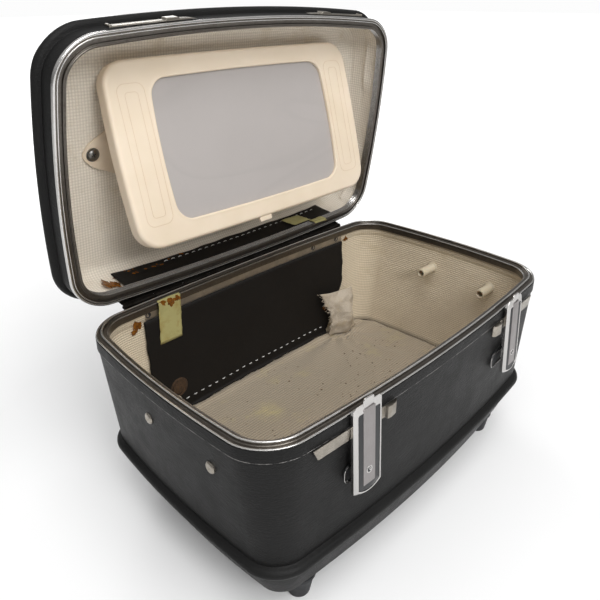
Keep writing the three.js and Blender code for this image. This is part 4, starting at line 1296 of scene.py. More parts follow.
def build_glue():
    """Amber glue where the lining has come away beside the board and at the lid's rear corner."""
    back = wall_y(body_lean, 1, 141, LINING_IN - 0.6, -18)
    base_blobs = [
        ((-142, back - 0.6, -17), (0.25, -1, 0), 7.5, 2.3),
        ((-147, back - 1.6, -21), (0.35, -1, 0), 4.0, 5.1),
        ((142.5, back - 1.2, -14), (-0.3, -1, 0), 4.6, 7.7),
        ((139, back - 1.2, -62), (-0.2, -1, 0), 3.2, 1.9),
        ((104, wall_y(body_lean, 1, 104, -9.2, -88), -92), (0, -1, 0), 9, 3.3),
        ((TAPE_X + 1, wall_y(body_lean, 1, TAPE_X, -11.2, -3), -4), (0, -1, 0), 6.5, 6.7),
        ((TAPE_X - 8, wall_y(body_lean, 1, TAPE_X, -11.2, -3), -2.5), (0, -1, 0), 4.5, 2.9),
        ((TAPE_X + 8, wall_y(body_lean, 1, TAPE_X, -11.2, -3), -2.5), (0, -1, 0), 4.0, 8.3),
    ]
    meshes = [blob_mesh(c, n, s, seed, 0.09) for c, n, s, seed in base_blobs]
    finish_mesh("base_glue_marks", merged(*meshes), "base", BASE, GLUE)
    lid_back = wall_y(lid_lean, 1, -146, LINING_IN, 20)
    lid_blobs = [
        ((-142, lid_back - 1.4, 21), (0.4, -1, 0), 9.5, 4.4),
        ((-148, lid_back - 2.6, 26), (0.5, -1, 0), 5.5, 6.1),
        ((-136, lid_back - 0.4, 32), (0.1, -1, 0), 4.5, 8.2),
        ((-128, lid_back - 1.0, 41), (0, -1, 0), 2.4, 9.9),
        ((-149, lid_back - 3.2, 20), (0.5, -1, 0), 8, 1.7),
    ]
    chance = random.Random(21)
    for _ in range(16):
        x = chance.uniform(-134, -60)
        z = chance.uniform(24, 34)
        centre = (x, wall_y(lid_lean, 1, x, LINING_IN - 3.9, z), z)
        lid_blobs.append((centre, (0, -1, 0), chance.uniform(0.9, 2.2), x))
    meshes = [blob_mesh(c, n, s, seed, 0.1) for c, n, s, seed in lid_blobs]
    finish_mesh("lid_glue_marks", merged(*meshes), "lid", LID, GLUE)


RUST_X = -109
RUST_Z = -98


def build_rust_spot():
    """A rusted rivet stain low on the board's left."""
    y = wall_y(body_lean, 1, RUST_X, -9.4, RUST_Z)
    profile = [(0, 0.7)]
    for step in range(1, 9):
        radius = step * 1.35
        profile.append((radius, 0.62 - 0.06 * step + 0.28 * math.sin(step * 2.2)))
    profile += [(11.3, -0.5), (0, -0.5)]
    turn = turned((RUST_X, y, RUST_Z), math.radians(90), "X")
    mesh = moved(lathe_mesh(profile, 48), turn)
    finish_mesh("rust_rivet", mesh, "base", BASE, RUST)


STRIP_HALF = 134
STRIP_TOP = -1.8
STRIP_FACE = -8.1
STRIP_BACK = -7.0
STRIP_HOLES_X = (-131, -100, 87, 125)
TAPE_X = -108
TAPE_WIDTH = 24


def build_back_strip():
    """The dull metal band screwed along the rear wall, above the board."""
    columns = 100
    rows = []
    for out, z in ((STRIP_FACE, STRIP_TOP), (STRIP_FACE, BOARD_TOP), (STRIP_BACK, BOARD_TOP),
                   (STRIP_BACK, STRIP_TOP)):
        row = []
        for i in range(columns + 1):
            x = STRIP_HALF * (2 * i / columns - 1)
            row.append(Vector((x, wall_y(body_lean, 1, x, out, z), z)))
        rows.append(row)
    mesh = grid_mesh(rows, closed=True)
    work = bmesh.new()
    work.from_mesh(mesh)
    bmesh.ops.holes_fill(work, edges=work.edges)
    bmesh.ops.recalc_face_normals(work, faces=work.faces)
    work.to_mesh(mesh)
    work.free()
    finish_mesh("back_strip_band", mesh, "base", BASE, STRIP, ["back_strip"])
    # Each eyelet is a dark ring round a dark disc; the disc is painted shade in place of the open hole.
    eyelet_rings_and_hole_shade = []
    for x in STRIP_HOLES_X:
        over_tape = 2.1 if abs(x - TAPE_X) < TAPE_WIDTH / 2 else 0
        y = wall_y(body_lean, 1, x, STRIP_FACE - over_tape, -10)
        profile = [(0, 0.08), (1.9, 0.08), (2.1, 0.45), (2.5, 0.55), (2.8, 0.4), (2.9, -0.2), (0, -0.2)]
        turn = turned((x, y, -9.4), math.radians(90), "X")
        eyelet_rings_and_hole_shade.append(moved(lathe_mesh(profile, 28), turn))
    finish_mesh("back_strip_eyelets_and_hole_shade", merged(*eyelet_rings_and_hole_shade), "base", BASE, INLAY)


# ------------------------------------------------------------------ tape and torn lining


def build_tape(name, body, place, path, width, skew, seed, replaces=()):
    """A strip of old tape laid along a path of (x, y, z) points, crumpled a little."""
    columns = 16
    points = [Vector(p) for p in path]
    rows = []
    segments = 10
    for a, b in zip(points, points[1:]):
        for k in range(segments):
            rows.append(a.lerp(b, k / segments))
    rows.append(points[-1])
    grid = []
    for i, centre in enumerate(rows):
        row = []
        for j in range(columns + 1):
            t = j / columns - 0.5
            wobble = ripple((t * width, i * 1.5, 0), 9, 0.7, seed)
            drift = skew * i / len(rows)
            edge = 0.8 * noise.noise(Vector((i * 0.5, seed, j)))
            across = t * width + drift + (edge if j in (0, columns) else 0)
            row.append(centre + Vector((across, wobble - 0.7, 0)))
        grid.append(row)
    piece = finish_mesh(name, grid_mesh(grid), body, place, TAPE, replaces)
    thicken(piece, 0.35, 0)
    return piece


def build_tapes():
    """Yellow tape from the base rim down the rear wall, and two pieces at the lid's hinge side."""
    wall = wall_y(body_lean, 1, TAPE_X, -9.4, -20)
    rim_top = wall_y(body_lean, 1, TAPE_X, -6.6, 0)
    build_tape(
        "tape_tab_yellow", "base", BASE,
        [(TAPE_X, rim_top, 0.3), (TAPE_X, wall - 0.5, -0.6), (TAPE_X, wall - 0.6, -16),
         (TAPE_X - 1, wall - 1.6, -43)],
        TAPE_WIDTH, -2, 2.0, ["tape_tab_base"],
    )
    back = wall_y(lid_lean, 1, 92, LINING_IN - 3.6, 10)
    build_tape(
        "tape_tab_lid", "lid", LID,
        [(93, back - 0.4, 10), (92, back - 1.0, 14), (90, back - 1.2, 26)],
        26, -4, 6.0,
    )
    back = wall_y(lid_lean, 1, 112, -9.6, 8)
    build_tape(
        "tape_tab_lid_rim", "lid", LID,
        [(110, back - 0.5, 7), (111, back - 0.5, 1.2), (112, back + 2.4, 0.4)],
        19, 2, 9.0,
    )


def build_flap():
    """The torn lining hanging from the rear right corner and crumpled on to the floor."""
    left = [(88, 101, -66), (93, 99, -78), (99, 96, -90), (101, 95, -104), (102, 96, -124.5)]
    right = [(142, 97, -72), (138, 92, -86), (134, 88, -98), (138, 88, -112), (143, 90, -125.2)]
    down, across = 46, 34
    rows = []
    for i in range(down + 1):
        s = i / down
        a, b = along_path(left, s), along_path(right, s)
        row = []
        for j in range(across + 1):
            t = j / across
            point = a.lerp(b, t)
            fold = 3.0 * math.sin(t * 9 + s * 3.2) * (0.4 + 0.6 * s) * (1 - 0.4 * abs(2 * s - 1))
            bulge = 7.5 * math.sin(math.pi * t) * (0.5 + 0.5 * math.sin(math.pi * s))
            crumple = ripple(point, 11, 2.6, 1) + ripple(point, 5, 0.8, 4)
            torn = 2.6 * noise.noise(Vector((s * 22, 0.3, 2))) if j == 0 else 0
            row.append(point + Vector((torn, -bulge - fold - crumple, 0.5 * crumple)))
        rows.append(row)
    mesh = grid_mesh(rows)
    piece = finish_mesh("lining_flap_cloth", mesh, "base", BASE, TORN, ["lining_flap"])
    thicken(piece, 0.9, 0)
    smooth = piece.modifiers.new("smooth", "SUBSURF")
    smooth.levels = 1
    smooth.render_levels = 1
    build_frayed_threads(rows)


def along_path(points, share):
    place = share * (len(points) - 1)
    index = min(int(place), len(points) - 2)
    return Vector(points[index]).lerp(Vector(points[index + 1]), place - index)


def build_frayed_threads(rows):
    """Loose threads along the torn edge."""
    chance = random.Random(11)
    threads = []
    for row in rows[::2]:
        start = row[0]
        reach = chance.uniform(2.5, 6)
        bend = Vector((-1, chance.uniform(-0.5, 0.2), chance.uniform(-0.7, 0.5))).normalized() * reach
        threads.append(thread_dash(start, start + bend, (0.2, -0.4, -0.9), 0.2))
    mesh = merged(*threads)
    finish_mesh("frayed_threads", mesh, "base", BASE, TORN)


# ------------------------------------------------------------------ pegs and rivets


def build_pegs():
    for side, sx in SIDES:
        for y in PEG_Y:
            label = f"{side}_{'front' if y < 0 else 'rear'}"
            root = wall_x(body_lean, y, LINING_IN, PEG_Z) - 0.3
            length = root - PEG_TIP
            tube = [(3.1, 1.5), (3.1, length - 0.5), (3.5, length), (4.6, length), (5.1, length - 0.5),
                    (4.95, 2.5), (5.4, 1.4), (6.6, 0.7), (6.6, -1.5), (3.1, -1.5), (3.1, 1.5)]
            turn = turned((sx * root, y, PEG_Z), -sx * math.pi / 2, "Y")
            mesh = moved(lathe_mesh(tube), turn)
            finish_mesh(f"peg_{label}_tube", mesh, "base", BASE, PEG, [f"tray_peg_{label}"])
            face = wall_x(body_lean, y, 0, PEG_Z) + 0.4
            head = [(0, 0.75), (1.0, 0.8), (1.7, 1.25), (3.0, 1.35), (4.0, 0.95), (4.6, 0.2), (4.6, -0.9),
                    (0, -0.9)]
            turn = turned((sx * face, y, PEG_Z), sx * math.pi / 2, "Y")
            mesh = moved(lathe_mesh(head), turn)
            finish_mesh(f"rivet_{label}_head", mesh, "base", BASE, NICKEL, [f"peg_rivet_{label}"])


# ------------------------------------------------------------------ latches

LEVER_HALF = 14.2
LEVER_FACE = -3.1
LEVER_BACK = 1.4
LEVER_TOP = 17.4
LEVER_CORNER = -50.4
LEVER_FOOT = -54.6
HOOK_TOP = 24.5
HOOK_HALF = 5.4
STRIPE_HALF = 6
STRIPE_FOOT = -46.5
LOCK_Z = -35
STRIKER_LEFT = {-1: -16.5, 1: -24.5}  # how far the catch plate stands out past the lever
STRIKER_RIGHT = 12.5
STRIKER_LIP = 1.9
STRIKER_LOW = -59.5
STRIKER_HIGH = -44.5
STRIKER_CORNER = 5.4
STRIKER_FACE = -0.2
STRIKER_LIP_FACE = -0.75
KEEPER_LOW = 4.6
KEEPER_HIGH = 11.9


def lever_outline(inset, top=LEVER_TOP):
    """The lever's front: square shoulders with small chamfers, and a shallow curved foot."""
    half = LEVER_HALF - inset
    high = top - inset
    chamfer = max(2.6 - inset * 0.5, 0.6)
    foot_corner = LEVER_CORNER + inset * 0.6
    foot_low = 2 * LEVER_FOOT - LEVER_CORNER + inset
    points = [(-half, high - chamfer), (-half, foot_corner)]
    steps = 14
    for step in range(1, steps):
        t = step / steps
        x = -half + 2 * half * t
        z = foot_corner * (1 - t) ** 2 + foot_low * 2 * t * (1 - t) + foot_corner * t * t
        points.append((x, z))
    points += [(half, foot_corner), (half, high - chamfer), (half - chamfer, high), (-half + chamfer, high)]
    return points


def stacked_mesh(layers):
    """Skins flat loops of (x, z) points at several depths, closed at both ends."""
    rings = [[Vector((x, depth, z)) for x, z in loop] for depth, loop in layers]
    return tube_mesh(rings)


LEVER_CREST = 20.6  # the top edge leans back from the front face up to this height
FLANGE = 3.4


def build_lever(label, side):
    sheet = 1.3
    crest = LEVER_FACE + 1.25
    layers = [
        (LEVER_FACE + 1.9, lever_outline(2.2)),
        (LEVER_FACE + 2.6, lever_outline(sheet + 0.2)),
        (LEVER_BACK, lever_outline(sheet)),
        (LEVER_BACK, lever_outline(0.25)),
        (LEVER_BACK - 0.25, lever_outline(0)),
        (LEVER_FACE + 2.2, lever_outline(0)),
        (crest + 0.55, lever_outline(0)),
        (crest + 0.4, lever_outline(0.1, LEVER_CREST)),
        (crest, lever_outline(0.4, LEVER_CREST + 0.3)),
        (LEVER_FACE + 0.25, lever_outline(1.7, LEVER_TOP - 0.2)),
        (LEVER_FACE, lever_outline(2.1, LEVER_TOP - 0.6)),
        (LEVER_FACE, lever_outline(FLANGE - 0.4, LEVER_TOP - 0.2)),
        (LEVER_FACE + 0.15, lever_outline(FLANGE - 0.15, LEVER_TOP)),
        (LEVER_FACE + 0.8, lever_outline(FLANGE, LEVER_TOP)),
    ]
    tray = stacked_mesh(layers)
    hook_low, half = LEVER_TOP - 2, HOOK_HALF
    hook_shape = [(-half, hook_low), (half, hook_low), (half, HOOK_TOP - 1.6), (4, HOOK_TOP), (-4, HOOK_TOP),
                  (-half, HOOK_TOP - 1.6)]
    hook = plate_mesh(hook_shape, LEVER_FACE + 0.5, LEVER_FACE + 1.6, 0.5)
    mesh = merged(tray, hook)
    place, body = lever_place(side), f"latch_{label}"
    finish_mesh(f"lever_{label}_tray", mesh, body, place, CHROME, [f"latch_lever_{label}"])
    inlay = stacked_mesh([
        (LEVER_FACE + 0.78, lever_outline(FLANGE + 0.1, LEVER_TOP)),
        (LEVER_FACE + 0.42, lever_outline(FLANGE + 0.1, LEVER_TOP)),
        (LEVER_FACE + 0.34, lever_outline(FLANGE + 0.25, LEVER_TOP)),
    ])
    finish_mesh(f"inlay_{label}_panel", inlay, body, place, INLAY, [f"lever_inlay_{label}"])
    stripe = plate_mesh(
        rounded_rectangle(-STRIPE_HALF, STRIPE_HALF, STRIPE_FOOT, LEVER_TOP - 0.8, 0.9),
        LEVER_FACE - 0.16, LEVER_FACE + 0.6, 0.3,
    )
    finish_mesh(f"stripe_{label}_plate", stripe, body, place, BRUSHED, [f"lever_stripe_{label}"])
    build_lock(label, place, body)


def build_lock(label, place, body):
    """The lock's face: a dark keyhole, a solid piece painted as shade for the opening, with a small bright
    plug standing at its right.
    """
    turn = turned((0, LEVER_FACE - 0.1, LOCK_Z), -math.pi / 2, "X")
    ring = [(2.1, 1.4), (2.1, -0.1), (2.5, -0.2), (2.9, -0.15), (3.1, 0.1), (3.1, 1.4), (2.1, 1.4)]
    face = moved(lathe_mesh(ring, 36), turn)
    plug_turn = turned((1.0, LEVER_FACE - 0.1, LOCK_Z), -math.pi / 2, "X")
    plug = moved(lathe_mesh([(0, -0.75), (0.8, -0.65), (1.25, -0.2), (1.3, 1.2), (0, 1.2)], 30), plug_turn)
    hole_shape = [(-0.2 + 1.9 * math.cos(a), 0.3 + 1.9 * math.sin(a)) for a in
                  (math.radians(d) for d in range(-50, 231, 20))]
    hole_shape += [(-1.0, -3.0), (0.7, -3.0)]
    # Painted shade: the keyhole is a dark solid piece in place of an opening.
    keyhole_shade = plate_mesh([(x, z + LOCK_Z) for x, z in hole_shape], LEVER_FACE - 0.2, LEVER_FACE + 1.2, 0)
    finish_mesh(f"lock_{label}_face", merged(face, plug), body, place, CHROME,
                [f"lock_cylinder_{label}"])
    finish_mesh(f"lock_{label}_keyhole", keyhole_shade, body, place, INLAY)


BRACKET_LOW = -19.5
BRACKET_HIGH = -10.5


def build_bracket(label, side):
    """The nickel strip on the body, its raised inner clip, and the two lugs that hold the lever."""
    path = soften([
        (-34, -1.3, 0), (43, -1.3, 0), (43.6, -1.7, 0), (43, -2.2, 0), (-21.6, -2.2, 0.3), (-22.2, -4.9, 0.3),
        (-25.4, -5.3, 0.3), (-31.5, -4.4, 0.4), (-34, -2.4, 0.3),
    ], True, 3)
    shape = [(side * p.x, p.y) for p in path]
    strip = plate_mesh(shape, BRACKET_LOW, BRACKET_HIGH, 0.25, "Z")
    for vertex in strip.vertices:
        vertex.co.z = bracket_height(side * vertex.co.x, vertex.co.z)
        if side * vertex.co.x > 38:
            vertex.co.x += side * (vertex.co.z - BRACKET_LOW) * 0.45
    lugs = []
    for x in (-10.6, 9.2):
        shape = rounded_rectangle(LATCH_PIVOT.y - 1.6, -1.5, LATCH_PIVOT.z - 2.4, LATCH_PIVOT.z + 2.4, 1.1)
        lugs.append(plate_mesh(shape, x, x + 1.4, 0.2, "X"))
    mesh = merged(strip, *lugs)
    finish_mesh(f"bracket_{label}_strip", mesh, "base", latch_place(side), NICKEL,
                [f"latch_bracket_{label}"])


def bracket_height(u, z):
    """The strip is a little lower beside the lever and full height at its ends."""
    middle = (BRACKET_LOW + BRACKET_HIGH) / 2
    narrow = 0.78 + 0.22 * clamp((u - 12) / 28)
    if u < -21:
        narrow = 1.1
    return middle + (z - middle) * narrow


def build_striker(label, side):
    """The catch plate on the wall behind the lever: a dark dish inside a thin bright lip."""
    left, right = STRIKER_LEFT[side], STRIKER_RIGHT
    low, high, corner = STRIKER_LOW, STRIKER_HIGH, STRIKER_CORNER
    plate = plate_mesh(rounded_rectangle(left, right, low, high, corner), STRIKER_FACE, 0.7, 0.2)
    finish_mesh(f"striker_{label}_dish", plate, "base", latch_place(side), INLAY,
                [f"striker_plate_{label}"])
    lip = STRIKER_LIP
    outer = rounded_rectangle(left, right, low, high, corner)
    inner = rounded_rectangle(left + lip, right - lip, low + lip, high - lip, corner - lip)
    ring = band_mesh(outer, inner, STRIKER_LIP_FACE, STRIKER_FACE)
    finish_mesh(f"striker_{label}_lip", ring, "base", latch_place(side), CHROME)


def band_mesh(outer, inner, low, high):
    """A flat frame between two outlines with the same number of points, in X and Z."""
    loops = [(outer, high), (outer, low + 0.25), (shrunk(outer, 0.25), low), (shrunk(inner, -0.2), low),
             (inner, low + 0.25), (inner, high)]
    work = bmesh.new()
    made = [[work.verts.new((x, depth, z)) for x, z in loop] for loop, depth in loops]
    for near, far in zip(made, made[1:] + made[:1]):
        for j in range(len(near)):
            k = (j + 1) % len(near)
            work.faces.new((near[j], near[k], far[k], far[j]))
    return closed_mesh(work)


def shrunk(shape, inset):
    """An outline drawn in towards its middle."""
    cx = sum(x for x, _ in shape) / len(shape)
    cz = sum(z for _, z in shape) / len(shape)
    half_x = max(abs(x - cx) for x, _ in shape)
    half_z = max(abs(z - cz) for _, z in shape)
    return [(cx + (x - cx) * (1 - inset / half_x), cz + (z - cz) * (1 - inset / half_z)) for x, z in shape]


def build_keeper(label, side):
    """The lid's nickel strip, pointed at its inner end, with the raised block the hook catches."""
    section = [
        (-38, -1.25), (40, -1.25), (40, -2.6), (39.2, -3.3), (38.2, -3.3), (37.6, -2.3), (-8.6, -2.3),
        (-9.2, -3.4), (-10, -3.9), (-20.2, -3.9), (-21, -3.4), (-21.8, -2.4), (-32, -2.1),
    ]
    shape = [(side * u, y) for u, y in section]
    mesh = plate_mesh(shape, KEEPER_LOW, KEEPER_HIGH, 0.35, "Z")
    x = side * LATCH_X
    face = Vector((x, wall_y(lid_lean, -1, x, 0, 0), 0))
    place = LID @ Matrix.Translation(face) @ Matrix.Rotation(front_turn(x), 4, "Z")
    finish_mesh(f"keeper_{label}_strip", mesh, "lid", place, NICKEL, [f"lid_keeper_{label}"])


# ------------------------------------------------------------------ lid

LID_BEAD_TOP = LID_WALL + BEAD_HEIGHT


def build_lid_shell():
    profile = [
        (-SKIN, LID_SHELL_EDGE, 0),
        (0, LID_SHELL_EDGE, 0.4),
        (0, LID_WALL - 3, 2),
        (-0.8, LID_WALL - 0.4, 0.3),
        *bead(LID_WALL, LID_BEAD_TOP),
        (-SKIN, LID_BEAD_TOP, 0),
    ]
    mesh = wall_ring(lid_lean, profile)
    finish_mesh("lid_shell_skin", mesh, "lid", LID, SHELL, ["lid_shell"])


def build_lid_top():
    foot = LID_BEAD_TOP + GAP
    profile = [
        (-19, LID_TOP - 3, 0),
        (-8, LID_TOP - 3.6, 5),
        (-4.1, LID_TOP - 12, 4),
        (-3.3, foot, 0.2),
        (-0.4, foot, 0.6),
        (-0.6, LID_TOP - 13, 5),
        (-4.5, LID_TOP - 3, 8),
        (-19, LID_TOP, 0),
    ]
    mesh = wall_bowl(lid_lean, profile, LID_DOME)
    finish_mesh("lid_top_skin", mesh, "lid", LID, SHELL, ["lid_top"])


def build_lid_lining():
    """The lid's lining: padded panel, soft corners and a fold down the right-hand wall."""
    top = LID_TOP - 3 - GAP
    edge = LID_SHELL_EDGE + GAP
    inner = soften([
        (-21, top - LINING, 0),
        (-12, top - LINING - 0.6, 4),
        (-7.2, top - LINING - 8, 5),
        (LINING_IN, LID_WALL + 5, 3),
        (LINING_IN, edge, 0.3),
        (LINING_OUT, edge, 0.3),
        (LINING_OUT, LID_WALL + 5, 2),
        (-5.2, top - 9, 3),
        (-11, top - 0.4, 4),
        (-21, top, 0),
    ], False, 7)
    rows = [wall_row(lid_lean, out, z) for out, z in inner]
    mesh = grid_mesh(rows, wrap=True, caps=[(LID_DOME, 24), (LID_DOME, 2)])
    for vertex in mesh.vertices:
        vertex.co = lid_lining_fold(vertex.co)
    finish_mesh("lid_lining_cloth", mesh, "lid", LID, LINING_LID, ["lid_lining"])


def lid_lining_fold(point):
    """Loosens the lining on the end walls; the right-hand one also stands up in a fold."""
    inside = point.z < LID_TOP - 4 - GAP
    near_wall = abs(point.x) > 176 and point.z < 40
    if not (inside and near_wall) or abs(point.x) > HALF_WIDTH + LINING_OUT - 1.2:
        return point
    lift = max(0.5 + ripple(point, 28, 0.8), 0)
    if point.x > 0:
        crest = 24 + 5 * noise.noise(Vector((0, point.y * 0.02, 3.3)))
        lift += 2.2 * math.exp(-((point.z - crest) / 2.4) ** 2)
    return point + Vector((-math.copysign(lift, point.x), 0, 0))


COVER_LEFT = -138
COVER_RIGHT = 140
COVER_LOW = 8.6
COVER_HEIGHT = 26
COVER_STITCH_Z = 28.5
COVER_STITCHES = (-84.0, 128)
COVER_STITCH_PITCH = 8.3
COVER_STITCH_LENGTH = 4.4


def build_hinge_cover():
    """The dark strip along the lid's hinge side, with its broken row of stitches."""
    columns, down = 120, 12
    rows = []
    for j in range(down + 1):
        s = j / down
        row = []
        for i in range(columns + 1):
            x = COVER_LEFT + (COVER_RIGHT - COVER_LEFT) * i / columns
            ragged = 1.8 * noise.noise(Vector((x * 0.05, 5.5, 0)))
            z = COVER_LOW + s * (COVER_HEIGHT + ragged)
            y = wall_y(lid_lean, 1, x, LINING_IN - 2.6, z) + ripple((x, z, 2), 40, 0.5)
            row.append(Vector((x, y, z)))
        rows.append(row)
    mesh = grid_mesh(rows)
    piece = finish_mesh("hinge_cover_sheet", mesh, "lid", LID, BOARD, ["lid_hinge_cover"])
    thicken(piece, 1.1)
    dashes = []
    x, last = COVER_STITCHES
    while x < last:
        y = wall_y(lid_lean, 1, x, LINING_IN - 3.4, 28) - 0.2
        z = COVER_STITCH_Z + 0.6 * noise.noise(Vector((x * 0.04, 2, 0)))
        dashes.append(thread_dash((x, y, z), (x + COVER_STITCH_LENGTH, y, z), (0, -0.7, 0)))
        x += COVER_STITCH_PITCH
    finish_mesh("cover_stitches", merged(*dashes), "lid", LID, THREAD)


# ------------------------------------------------------------------ hinge

HINGE_HALF_LENGTH = 147
KNUCKLES = 9
KNUCKLE_RADIUS = 2.3
PIN_RADIUS = 1.1
LEAF_Y = 122.1
LEAF_THICKNESS = 0.9
LEAF_CLEAR = 1.78  # from the pin's axis to the edge of a leaf


def along_x(x):
    """A placement that lays a turned shape along the hinge's axis."""
    return turned((x, HINGE.y, HINGE.z), math.pi / 2, "Y")


def build_hinge_leaf(name, up, first, height, body, place):
    """One leaf of the piano hinge: a flat plate and every second knuckle, rolled round the pin."""
    pitch = 2 * HINGE_HALF_LENGTH / KNUCKLES
    half = pitch / 2 - GAP
    low, high = sorted((HINGE.z + up * LEAF_CLEAR, HINGE.z + up * height))
    back = LEAF_Y + LEAF_THICKNESS
    plate = rounded_rectangle(-HINGE_HALF_LENGTH, HINGE_HALF_LENGTH, low, high, 1.2)
    pieces = [plate_mesh(plate, LEAF_Y, back, 0.25)]
    tube = [(PIN_RADIUS + 0.15, -half), (KNUCKLE_RADIUS - 0.25, -half), (KNUCKLE_RADIUS, 0.3 - half),
            (KNUCKLE_RADIUS, half - 0.3), (KNUCKLE_RADIUS - 0.25, half), (PIN_RADIUS + 0.15, half)]
    for k in range(first, KNUCKLES, 2):
        x = (k + 0.5) * pitch - HINGE_HALF_LENGTH
        pieces.append(moved(lathe_mesh([*tube, tube[0]], 32), along_x(x)))
        foot, top = sorted((HINGE.z + up * 1.4, HINGE.z + up * (LEAF_CLEAR + 0.8)))
        tab = rounded_rectangle(x - half, x + half, foot, top, 0.2)
        pieces.append(plate_mesh(tab, LEAF_Y, back, 0.2))
    finish_mesh(name, merged(*pieces), body, place, HINGE_STEEL, [f"hinge_leaf_{body}"])


def build_hinge_bed(name, lean, low, high, body, place):
    """The packing behind a leaf, which fills the gap to the bowed wall."""
    columns = 60
    half = HINGE_HALF_LENGTH - 1
    corners = [(0.15, low), (0.15, high), (None, high), (None, low)]
    rings = []
    for i in range(columns + 1):
        x = half * (2 * i / columns - 1)
        ring = []
        for out, z in corners:
            y = LEAF_Y - 0.1 if out is None else wall_y(lean, 1, x, out, z)
            ring.append((x, y, z))
        rings.append(ring)
    finish_mesh(name, tube_mesh(rings), body, place, HINGE_STEEL)


def build_hinge():
    build_hinge_leaf("hinge_base_leaf", -1, 0, 11, "base", BASE)
    build_hinge_leaf("hinge_lid_leaf", 1, 1, 12, "lid", LID)
    build_hinge_bed("hinge_base_bed", body_lean, -10.6, -1.6, "base", BASE)
    build_hinge_bed("hinge_lid_bed", lid_lean, LID_SHELL_EDGE + 0.2, 9.6, "lid", LID)
    end = HINGE_HALF_LENGTH + 0.5
    profile = [(0, -end), (PIN_RADIUS - 0.2, -end), (PIN_RADIUS, 0.2 - end), (PIN_RADIUS, end - 0.2),
               (PIN_RADIUS - 0.2, end), (0, end)]
    mesh = moved(lathe_mesh(profile, 24), along_x(0))
    finish_mesh("hinge_rod", mesh, "base", BASE, HINGE_STEEL, ["hinge_pin"])


# ------------------------------------------------------------------ mirror

MIRROR_BOW = (1.5, 1.5, 3)
MIRROR_STEPS = (10, 30, 18)
MIRROR_HALF = (144.5, 79.5)
MIRROR_CORNER = 20
GLASS_CORNER = 15
MIRROR_WALL = 12.6
GLASS_HALF = (104, 62)
TAB_X = -7
GROOVES = ((12.5, 59, 7, 0.75), (6, 52, 3, 0.75))
GROOVE_X = 121.5


def mirror_row(inset, z):
    half_x, half_y = (half - inset for half in MIRROR_HALF)
    flat = outline(half_x, half_y, MIRROR_CORNER - inset * 0.6, MIRROR_BOW, MIRROR_STEPS)
    return [Vector((x, y, z)) for x, y in flat]


def glass_row(grow, z):
    half_x, half_y = (half + grow for half in GLASS_HALF)
    flat = outline(half_x, half_y, GLASS_CORNER + grow, MIRROR_BOW, MIRROR_STEPS)
    return [Vector((x, y, z)) for x, y in flat]


def build_mirror_frame():
    front_rings = 26
    rows = [mirror_row(0, MIRROR_WALL), mirror_row(0, 7), mirror_row(0, 3.2)]
    for step in range(1, 8):
        angle = step / 7 * math.pi / 2
        rows.append(mirror_row(3.2 * (1 - math.cos(angle)), 3.2 * (1 - math.sin(angle))))
    outer, inner = mirror_row(3.2, 0), glass_row(2.4, 0)
    for step in range(1, front_rings):
        t = step / front_rings
        rows.append([a.lerp(b, t) for a, b in zip(outer, inner)])
    rows += [glass_row(2.4, 0), glass_row(1.8, -0.25), glass_row(0.8, -0.25), glass_row(0.2, 0.2),
             glass_row(0, 0.9), glass_row(0, 2.8), mirror_row(2.6, 2.8), mirror_row(2.6, MIRROR_WALL)]
    mesh = grid_mesh(rows, wrap=True, closed=True)
    finish_mesh("mirror_frame_moulding", mesh, "mirror", MIRROR, CREAM, ["mirror_frame"])
    build_groove_lines()
    build_pull_tab()


def groove_line(centre_x, half_x, half_y, radius, width):
    """A raised hairline round a rounded rectangle on the frame's front."""
    points = rounded_rectangle(centre_x - half_x, centre_x + half_x, -half_y, half_y, radius, 8)
    lean = 0.028 * math.copysign(1, centre_x)
    points = [(x - lean * abs(y) * 0.6, y) for x, y in points]
    work = bmesh.new()
    made = []
    count = len(points)
    for i in range(count):
        here = Vector((*points[i], 0))
        ahead = Vector((*points[(i + 1) % count], 0))
        behind = Vector((*points[i - 1], 0))
        forward = (ahead - behind).normalized()
        out = Vector((forward.y, -forward.x, 0))
        ring = []
        for offset, height in ((-1, 0.15), (-0.5, -0.16), (0.5, -0.16), (1, 0.15)):
            ring.append(work.verts.new(here + out * offset * width / 2 + Vector((0, 0, height))))
        made.append(ring)
    for low, high in zip(made, made[1:] + made[:1]):
        for j in range(4):
            k = (j + 1) % 4
            work.faces.new((low[j], low[k], high[k], high[j]))
    return closed_mesh(work)


def build_groove_lines():
    lines = []
    for _, side in SIDES:
        for half_x, half_y, radius, width in GROOVES:
            lines.append(groove_line(side * GROOVE_X, half_x, half_y, radius, width))
    mesh = merged(*lines)
    finish_mesh("mirror_frame_lines", mesh, "mirror", MIRROR, CREAM_LINE)


def build_pull_tab():
    shape = rounded_rectangle(TAB_X - 7.5, TAB_X + 7.5, MIRROR_HALF[1] - 3, MIRROR_HALF[1] + 4, 1.6)
    mesh = plate_mesh(shape, 1.4, 3.4, 0.4, "Z")
    finish_mesh("mirror_pull_tab", mesh, "mirror", MIRROR, CREAM)


def build_mirror_glass():
    rows = [glass_row(3.4, 6.1), glass_row(3.4, 3.3), glass_row(3.2, 3.1)]
    mesh = grid_mesh(rows, wrap=True, caps=[(0, 2), (0, 2)])
    finish_mesh("mirror_glass_pane", mesh, "mirror", MIRROR, SILVER_PAINTED_REFLECTION, ["mirror_glass"])


EAR_TIP = (144.4, -6.8)
EAR_ROOT_X = 117
EAR_WEB_X = 119.6
EAR_HUB_X = 118.3
EAR_LOW = 42.8
EAR_HIGH = 44.6


